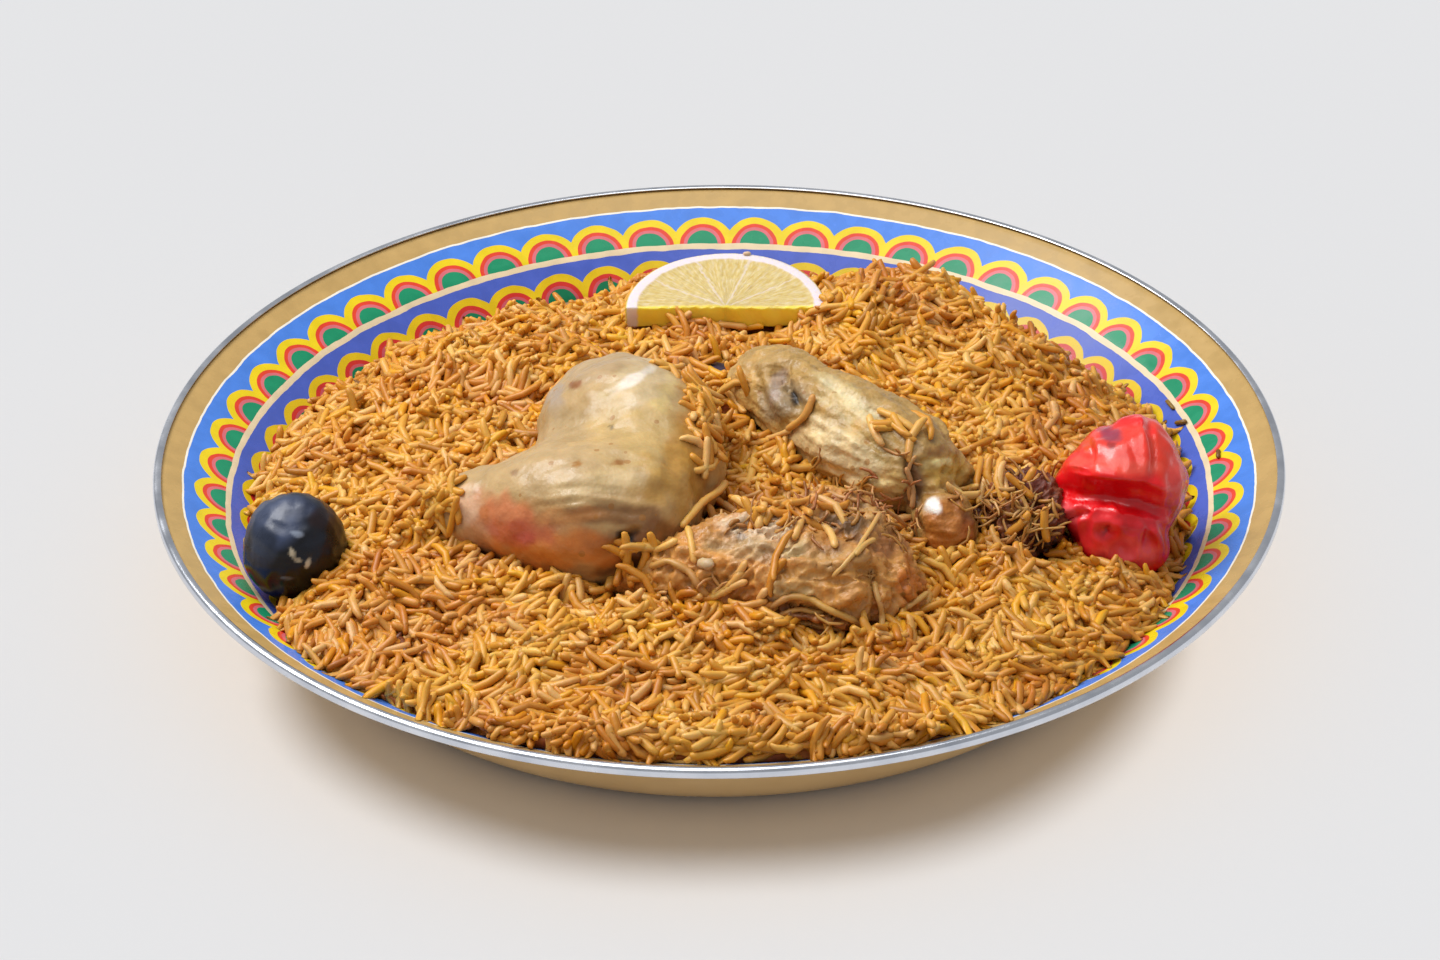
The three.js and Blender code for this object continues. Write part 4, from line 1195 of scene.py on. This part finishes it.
def core_finish():
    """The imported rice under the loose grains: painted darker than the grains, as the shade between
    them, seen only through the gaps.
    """
    made, tree, shader = new_material("rice_packed_dark")
    clouded(tree, shader, 170.0, 4.0, ("#8c3e04", "#bc6c12"), 0.6, 1.0)
    fill(tree, shader, {"Roughness": 0.6})
    return made


def on_plate(points):
    """The points, with those that would sink into the plate's wall laid on it."""
    points[:, 2] = np.maximum(points[:, 2], inside_height(points) + WALL_GAP)
    return points


# Hills and hollows of the rice: x, y, half width and half height in picture pixels, and height in
# millimetres
RICE_HILLS = [
    (725, 430, 26, 44, 7.0), (790, 478, 44, 26, 6.0), (835, 642, 62, 14, -6.0), (727, 334, 104, 12, -6.5),
    (445, 474, 20, 16, -4.0), (420, 634, 14, 9, -4.0), (1040, 552, 24, 12, -5.0), (960, 300, 40, 14, 2.5),
    (1122, 582, 24, 9, 3.5), (370, 388, 26, 8, -2.5), (560, 345, 60, 12, 1.5), (1010, 440, 40, 16, 2.0),
    (560, 660, 70, 14, 1.8), (720, 690, 50, 12, -1.8), (1000, 640, 60, 16, 1.8), (330, 560, 30, 16, 2.0),
    (600, 738, 200, 16, 4.2), (400, 700, 60, 16, 3.2), (860, 738, 150, 16, 3.0), (716, 378, 17, 8, -5.0),
    (952, 582, 32, 12, -6.5),
]


def heap_surface():
    """The CAD heap made uneven: broad swells, hills and hollows, over the plate's wall."""
    heap = refined(copy_of("rice_heap", "heap_even"), HEAP_VOXEL, rounds=2)
    points, normals = points_of(heap.data), normals_of(heap.data)
    x, y, _ = in_picture(points)
    flat = points * np.array([1, 1, 0])
    lift = 1.2 * waves(flat, 30.0, 5) + 1.4 * waves(flat, 17.0, 6) + 1.2 * waves(flat, 9.0, 7)
    lift *= 1 - smooth_step(np.hypot(points[:, 0], points[:, 1]), *HEAP_EDGE)
    points[:, :2] *= 1 + HEAP_FRONT_GROWTH * smooth_step(-points[:, 1], *HEAP_FRONT)[:, None]
    for cx, cy, half_x, half_y, height in RICE_HILLS:
        lift += height * np.exp(-((x - cx) / half_x) ** 2 - ((y - cy) / half_y) ** 2)
    upward = np.clip(normals[:, 2] * 3, 0, 1)
    points[:, 2] += upward * lift
    over = np.maximum(points[:, 2], inside_height(points) + HEAP_OVER_WALL)
    points[:, 2] = np.where(normals[:, 2] > FACES_UP, over, points[:, 2])
    set_points(heap.data, points)
    return heap, points, upward


def bare(place, normal, trees):
    """Whether no food lies on or close above a place in millimetres."""
    if normal[2] < FACES_UP:
        return False
    at = Vector(place) * MM
    for tree in trees:
        above = tree.ray_cast(at + Vector((0, 0, -2 * MM)), Vector((0, 0, 1)), 10 * MM)
        if above[0] is not None or tree.find_nearest(at, FOOD_GAP * MM)[0] is not None:
            return False
    return True


def make_rice(food_trees):
    """The dark core and the loose grains of each colour over it; and a tree of the heap."""
    heap, points, upward = heap_surface()
    low = points.copy()
    low[:, 2] -= upward * (CORE_DEPTH - 0.7 * waves(points, 7.0, 3) - 0.5 * waves(points, 4.0, 4))
    core = new_object("rice_core", heap.data.copy())
    set_points(core.data, on_plate(low))
    dress(core, core_finish(), "rice", "rice_heap")

    marked(heap.data, "open", [bare(p, n, food_trees) for p, n in zip(points, normals_of(heap.data))])
    shapes = shape_set("grain_shape", GRAIN_SHAPES)
    for i, (name, share, colours) in enumerate(RICE_KINDS):
        finish = rice_finish(f"cooked_rice_{name}", colours)
        grains = strewn(f"rice_{name}", heap, strewing, Shapes=shapes, Finish=finish,
                        Grains_per_square_metre=GRAINS_PER_MM2 * 1e6 * share, Seed=11 + 10 * i,
                        Lowest=-2.6 * MM, Highest=0.8 * MM, Tilt=0.42, Straying=0.5,
                        Bundle_size=11 * MM, Bundle_lift=1.8 * MM)
        set_points(grains.data, on_plate(points_of(grains.data)))
        dress(grains, None, "rice")
    seen = tree_of(heap.data)
    bpy.data.objects.remove(heap)
    dropped(shapes)
    return seen


# Loose grains, shreds and strands on the food

LOOSE_GRAINS_PER_MM2 = 0.17
SHREDS_PER_MM2 = 0.06
# Where they lie: x, y, half width, half height in picture pixels, share of a full cover
GRAIN_ZONES = [
    (440, 498, 18, 20, 1.0), (500, 572, 50, 7, 0.9), (590, 578, 60, 6, 0.9), (706, 410, 15, 62, 0.9),
    (690, 370, 22, 8, 0.7), (742, 392, 9, 34, 0.5), (762, 442, 26, 12, 0.9), (905, 430, 30, 12, 0.35),
    (640, 552, 24, 9, 0.8), (690, 604, 44, 12, 0.9), (730, 618, 54, 8, 0.8), (790, 512, 50, 14, 0.3),
    (770, 575, 70, 24, 0.1), (1000, 490, 36, 18, 0.2), (1036, 520, 24, 20, 0.1), (731, 322, 22, 9, 1.0),
    (900, 640, 30, 8, 0.8), (950, 572, 26, 8, 0.8), (860, 645, 60, 6, 0.7), (975, 480, 12, 24, 0.6),
]
SHRED_ZONES = [
    (850, 494, 60, 20, 0.9), (795, 474, 34, 20, 0.8), (900, 524, 22, 24, 0.8), (800, 522, 66, 16, 0.6),
    (742, 520, 34, 16, 0.3), (822, 630, 56, 14, 0.8), (1012, 515, 54, 46, 1.0), (972, 556, 16, 24, 0.7),
    (905, 470, 16, 30, 0.6), (700, 590, 40, 16, 0.4),
]
SHRED_SHAPES = [
    (6.0, 1.1, 1.0, 0.5), (9.0, 0.9, 2.2, -1.0), (5.0, 1.3, 0.6, 0.3), (12.0, 0.8, 2.8, 1.2),
    (7.5, 1.0, -1.8, 0.9),
]
SHRED_KINDS = [
    ("pale", ("#a97c40", "#c0945a", "#cfa873")),
    ("brown", ("#74462a", "#946038", "#b07c4c")),
]
BIT_COLOURS = {
    "onion_bits_translucent": ("#b5a682", "#cabc98", "#ddd2b6"),
    "dried_spice_dark": ("#1c100c", "#2e1c16", "#46302a"),
}
# Picture places along each single grain or strand, and its radius in millimetres
SINGLE_GRAINS = [
    ([(813, 400), (810, 413), (803, 421), (791, 428)], 1.25),
    ([(723, 432), (741, 440), (765, 437)], 1.2), ([(768, 437), (780, 436), (791, 430)], 1.1),
    ([(757, 450), (753, 473), (744, 495)], 1.3), ([(743, 498), (755, 497), (768, 490)], 1.1),
    ([(654, 549), (664, 548), (675, 544)], 1.2), ([(690, 530), (692, 544), (695, 558)], 1.1),
    ([(760, 526), (763, 514), (766, 502)], 1.35), ([(816, 523), (829, 532), (835, 547)], 1.25),
    ([(796, 538), (799, 526), (801, 513)], 1.2), ([(715, 598), (730, 590), (742, 580)], 1.35),
    ([(681, 524), (700, 501), (725, 484)], 1.2), ([(738, 574), (746, 566)], 1.2),
    ([(882, 412), (897, 419), (912, 430)], 1.25), ([(416, 676), (417, 688)], 1.3),
    ([(993, 608), (1003, 614), (1004, 625), (994, 631)], 1.2),
    ([(1112, 590), (1116, 574), (1117, 563)], 1.15), ([(1128, 588), (1133, 575), (1135, 566)], 1.1),
    ([(768, 641), (774, 635), (780, 630)], 1.3), ([(791, 660), (797, 648)], 1.25),
    ([(803, 664), (806, 648), (803, 641)], 1.25), ([(815, 662), (819, 650)], 1.2),
    ([(762, 598), (766, 590)], 1.4), ([(716, 592), (728, 590), (738, 580), (742, 570)], 1.3),
    ([(1143, 584), (1141, 573)], 1.1), ([(1098, 588), (1092, 578)], 1.1),
    ([(700, 330), (722, 322), (744, 325)], 1.2),
]
PALE_BITS = [
    ([(705, 567), (711, 565)], 2.0), ([(745, 255), (749, 255)], 0.7),
]
STRANDS = [
    ([(769, 609), (778, 600), (790, 595), (808, 597), (835, 611), (860, 622), (877, 630)], 1.15),
    ([(879, 514), (869, 532), (858, 550), (846, 562), (833, 574)], 0.75),
    ([(872, 540), (862, 548), (856, 555)], 0.9), ([(913, 544), (922, 556), (934, 570)], 0.7),
    ([(895, 620), (905, 608), (925, 595)], 0.9),
    ([(873, 585), (880, 600), (882, 620), (880, 638)], 0.95),
    ([(654, 567), (670, 560), (692, 572), (707, 596)], 1.2),
    ([(778, 616), (800, 609), (822, 614)], 0.9), ([(780, 628), (806, 622), (838, 630)], 1.0),
    ([(848, 642), (862, 634), (874, 644)], 0.8), ([(905, 470), (911, 486), (914, 506)], 0.9),
    ([(880, 506), (895, 514), (905, 528)], 0.8), ([(770, 452), (784, 462), (796, 476)], 0.9),
    ([(820, 488), (838, 498), (858, 502)], 0.9), ([(826, 500), (840, 508), (862, 512)], 0.8),
    ([(1000, 470), (1008, 488), (1004, 506)], 0.9), ([(985, 500), (1000, 512), (1018, 514)], 0.9),
    ([(1020, 495), (1030, 512), (1028, 530)], 0.8),
]
DARK_BITS = [
    ([(356, 387), (368, 391), (384, 392)], 1.7), ([(400, 641), (406, 655)], 1.2),
    ([(1178, 424), (1186, 423)], 0.9), ([(1219, 452), (1219, 458)], 0.7),
    ([(404, 630), (396, 640)], 0.8), ([(1168, 402), (1174, 409)], 0.7),
]
TUBE_SIDES = 8
TUBE_FLATNESS = 0.85
SPOT_STEP = 5
# past an edge a strand hangs in the air instead of reaching what lies far behind, and from one spot
# to the next it goes no further back than this
HANGING_STEP = 2.4 * MM


def softened(line):
    """A line with its corners cut."""
    if len(line) < 3:
        return line
    near, far = line[:-1] * 0.75 + line[1:] * 0.25, line[:-1] * 0.25 + line[1:] * 0.75
    return np.vstack([line[:1], np.stack([near, far], axis=1).reshape(-1, 3)[1:-1], line[-1:]])


def over_food(line, radius, trees):
    """Points in millimetres along a line of picture places, resting on what is seen there."""
    spots = []
    for (x0, y0), (x1, y1) in zip(line, line[1:]):
        steps = max(2, int(math.hypot(x1 - x0, y1 - y0) / SPOT_STEP))
        spots += [(x0 + (x1 - x0) * k / steps, y0 + (y1 - y0) * k / steps) for k in range(steps)]
    seen = [seen_at(x, y, trees) for x, y in spots + [line[-1]]]
    depths = [far for _, _, far in seen]
    for _ in range(2):
        for i in range(1, len(depths)):
            depths[i] = min(depths[i], depths[i - 1] + HANGING_STEP)
        depths.reverse()
    points = []
    for (point, normal, far), depth in zip(seen, depths):
        at = EYE + (point - EYE) * (depth / far)
        points.append(np.array(at) / MM + np.array(normal) * radius * 0.75)
    points = np.array(points)
    for _ in range(2):
        points[1:-1] = points[:-2] * 0.25 + points[1:-1] * 0.5 + points[2:] * 0.25
    return softened(points)


def tube(path, radius, rng, first):
    """Points and faces of one round-ended grain or strand, its points numbered from first on."""
    ways = np.gradient(path, axis=0)
    ways /= np.linalg.norm(ways, axis=1)[:, None]
    tips = [path[0] - ways[0] * radius, path[-1] + ways[-1] * radius]
    path = np.vstack([path[0] - ways[0] * radius * 0.7, path, path[-1] + ways[-1] * radius * 0.7])
    ways = np.vstack([ways[:1], ways, ways[-1:]])
    girths = radius * rng.uniform(0.88, 1.08, len(path))
    girths[0] *= 0.55
    girths[-1] *= 0.5
    points, faces = [], []
    for at, way, girth in zip(path, ways, girths):
        side = np.cross(way, (0.0, 0.0, 1.0))
        side /= np.linalg.norm(side)
        over = np.cross(side, way)
        for i in range(TUBE_SIDES):
            a = 2 * math.pi * i / TUBE_SIDES
            points.append(at + girth * (math.cos(a) * side + TUBE_FLATNESS * math.sin(a) * over))
    near, far = len(points), len(points) + 1
    for i in range(TUBE_SIDES):
        j = (i + 1) % TUBE_SIDES
        for low in range(0, near - TUBE_SIDES, TUBE_SIDES):
            faces.append((low + i, low + j, low + TUBE_SIDES + j, low + TUBE_SIDES + i))
        last = near - TUBE_SIDES
        faces += [(near, j, i), (far, last + i, last + j)]
    return points + tips, [tuple(first + k for k in face) for face in faces]


def laid(name, lines, trees, seed):
    """Round-ended grains or strands along lines of picture places, joined in one mesh."""
    rng = np.random.default_rng(seed)
    points, faces, tints = [], [], []
    for line, radius in lines:
        more, sides = tube(over_food(line, radius, trees), radius, rng, len(points))
        points += more
        faces += sides
        tints += [rng.uniform(0.2, 0.9)] * len(more)
    piece = new_object(name, new_mesh(name, points, faces))
    marked(piece.data, "tint", tints)
    return piece


def open_where(obj, zones, seed):
    """A copy of the food, marked where loose things lie: soft patches in the picture."""
    layer = new_object("open_" + obj.name, obj.data.copy())
    points, normals = points_of(obj.data), normals_of(obj.data)
    x, y, _ = in_picture(points)
    share = np.zeros(len(points))
    for cx, cy, half_x, half_y, most in zones:
        away = np.hypot((x - cx) / half_x, (y - cy) / half_y) + 0.2 * waves(points, 5.0, seed)
        share = np.maximum(share, most * (1 - smooth_step(away, 0.6, 1.1)))
    seen = (toward_camera(points, normals) > 0.12) & (normals[:, 2] > -0.1)
    marked(layer.data, "open", share * seen)
    return layer


def shape_set(name, shapes):
    """A collection of small shapes for strewing."""
    group = bpy.data.collections.new(name)
    for i, shape in enumerate(shapes):
        group.objects.link(bpy.data.objects.new(f"{name}_{i}", grain_mesh(*shape)))
    return group


def dropped(group):
    for shape in list(group.objects):
        bpy.data.objects.remove(shape)
    bpy.data.collections.remove(group)


def strewn_on_food(name, zones, shapes, finish, per_mm2, seed, slot):
    """Strews shapes over all the food's patches, as one joined piece."""
    mesh = bmesh.new()
    for i, food in enumerate(whole_food):
        layer = open_where(food, zones, seed + i)
        some = strewn(f"{name}_{i}", layer, strewing, Shapes=shapes, Finish=finish,
                      Grains_per_square_metre=per_mm2 * 1e6, Seed=seed + i, Lowest=0.0,
                      Highest=1.3 * MM, Tilt=0.3, Straying=1.4, Bundle_size=20 * MM)
        mesh.from_mesh(some.data)
        bpy.data.objects.remove(some)
        bpy.data.objects.remove(layer)
    whole = bpy.data.meshes.new(name)
    mesh.to_mesh(whole)
    mesh.free()
    smooth_shaded(whole)
    set_points(whole, on_plate(points_of(whole)))
    return dress(new_object(name, whole), finish, slot)


def make_loose():
    """What lies on the food: strewn grains and shreds, then single ones laid one by one."""
    ready = bpy.data.materials
    grains, shreds = shape_set("loose_grain", GRAIN_SHAPES), shape_set("shred", SHRED_SHAPES)
    for i, (name, share) in enumerate((("golden", 0.5), ("pale", 0.25), ("amber", 0.25))):
        strewn_on_food(f"rice_on_food_{name}", GRAIN_ZONES, grains, ready[f"cooked_rice_{name}"],
                       LOOSE_GRAINS_PER_MM2 * share, 200 + 20 * i, "rice")
    for i, (name, colours) in enumerate(SHRED_KINDS):
        finish = rice_finish(f"chicken_fibre_{name}", colours)
        strewn_on_food(f"meat_shreds_{name}", SHRED_ZONES, shreds, finish, SHREDS_PER_MM2, 300 + 20 * i,
                       "thigh_skin")
    dropped(grains)
    dropped(shreds)
    for name, colours in BIT_COLOURS.items():
        rice_finish(name, colours)
    trees = [tree_of(food.data) for food in whole_food] + [rice_tree]
    trees.append(tree_of(bpy.data.objects["plate_sheet"].data))
    for name, lines, finish, slot, seed in (
        ("rice_single_grains", SINGLE_GRAINS, "cooked_rice_pale", "rice", 401),
        ("white_bits", PALE_BITS, "onion_bits_translucent", "rice", 402),
        ("chicken_strands", STRANDS, "chicken_fibre_pale", "thigh_skin", 403),
        ("dark_bits", DARK_BITS, "dried_spice_dark", "rice", 404),
    ):
        dress(laid(name, lines, trees, seed), ready[finish], slot)


strewing = strewing_tree()
rice_tree = make_rice([tree_of(food.data) for food in whole_food])
make_loose()


# Light and floor

WORLD_STRENGTH = 0.4
FLOOR_FILL = 1.85
FLOOR_FILL_SPREAD = 40.0
# the floor's left, right, front and back in millimetres
FLOOR_SIDES = (-4000, 4000, -3000, 5000)
# softboxes: name, place and aim in metres, size and power
SOFTBOXES = (
    ("softbox_overhead", (-0.35, 0.1, 1.5), (0.0, 0.0, 0.0), (1.6, 1.3), 16.5),
    ("softbox_key", (-0.75, 0.4, 1.1), (0.0, 0.0, 0.0), (0.8, 0.6), 13.0),
)


def reached_only(light, name, things, state="INCLUDE"):
    """Keeps a light to some things, or off them."""
    group = bpy.data.collections.new(name)
    for thing in things:
        group.objects.link(thing)
    for member in group.collection_objects:
        member.light_linking.link_state = state
    light.light_linking.receiver_collection = group


def make_floor():
    """Pale paper, nearly even."""
    left, right, front, back = FLOOR_SIDES
    corners = [(left, front, 0), (right, front, 0), (right, back, 0), (left, back, 0)]
    mesh = new_mesh("studio_floor", corners, [(0, 1, 2, 3)], smooth=False)
    floor = new_object("studio_floor", mesh)
    made, tree, shader = new_material("studio_paper_pale")
    place = add(tree, "TexCoord").outputs["Object"]
    cloud = add(tree, "TexNoise", {"Vector": place, "Scale": 1.2, "Detail": 2.0})
    ramp = add(tree, "ValToRGB", {0: cloud}, stops=[(0.2, "#e6e6e7"), (0.8, "#eaeaeb")])
    fill(tree, shader, {"Base Color": ramp, "Roughness": 0.9, "Specular IOR Level": 0.1})
    mesh.materials.append(made)
    return floor


def make_studio():
    """Soft light from all round, two softboxes on the object and a light for the floor alone."""
    floor = make_floor()
    world = bpy.data.worlds.new("studio")
    bpy.context.scene.world = world
    world.use_nodes = True
    back = world.node_tree.nodes["Background"]
    back.inputs["Color"].default_value = (0.97, 0.98, 1.0, 1.0)
    back.inputs["Strength"].default_value = WORLD_STRENGTH
    for name, spot, aim, size, power in SOFTBOXES:
        data = bpy.data.lights.new(name, "AREA")
        data.shape = "RECTANGLE"
        data.size, data.size_y = size
        data.energy = power
        light = bpy.data.objects.new(name, data)
        away = Vector(spot) - Vector(aim)
        light.matrix_world = Matrix.Translation(spot) @ away.to_track_quat("Z", "Y").to_matrix().to_4x4()
        bpy.context.scene.collection.objects.link(light)
        reached_only(light, name + "_reach", [floor], "EXCLUDE")
    data = bpy.data.lights.new("floor_fill", "SUN")
    data.energy = FLOOR_FILL
    data.angle = math.radians(FLOOR_FILL_SPREAD)
    light = bpy.data.objects.new("floor_fill", data)
    bpy.context.scene.collection.objects.link(light)
    reached_only(light, "floor_fill_reach", [floor])
    shade = bpy.data.collections.new("floor_fill_shade")
    shade.objects.link(bpy.data.objects["rice_core"])
    light.light_linking.blocker_collection = shade
    bpy.context.scene.view_settings.view_transform = "Standard"


make_studio()
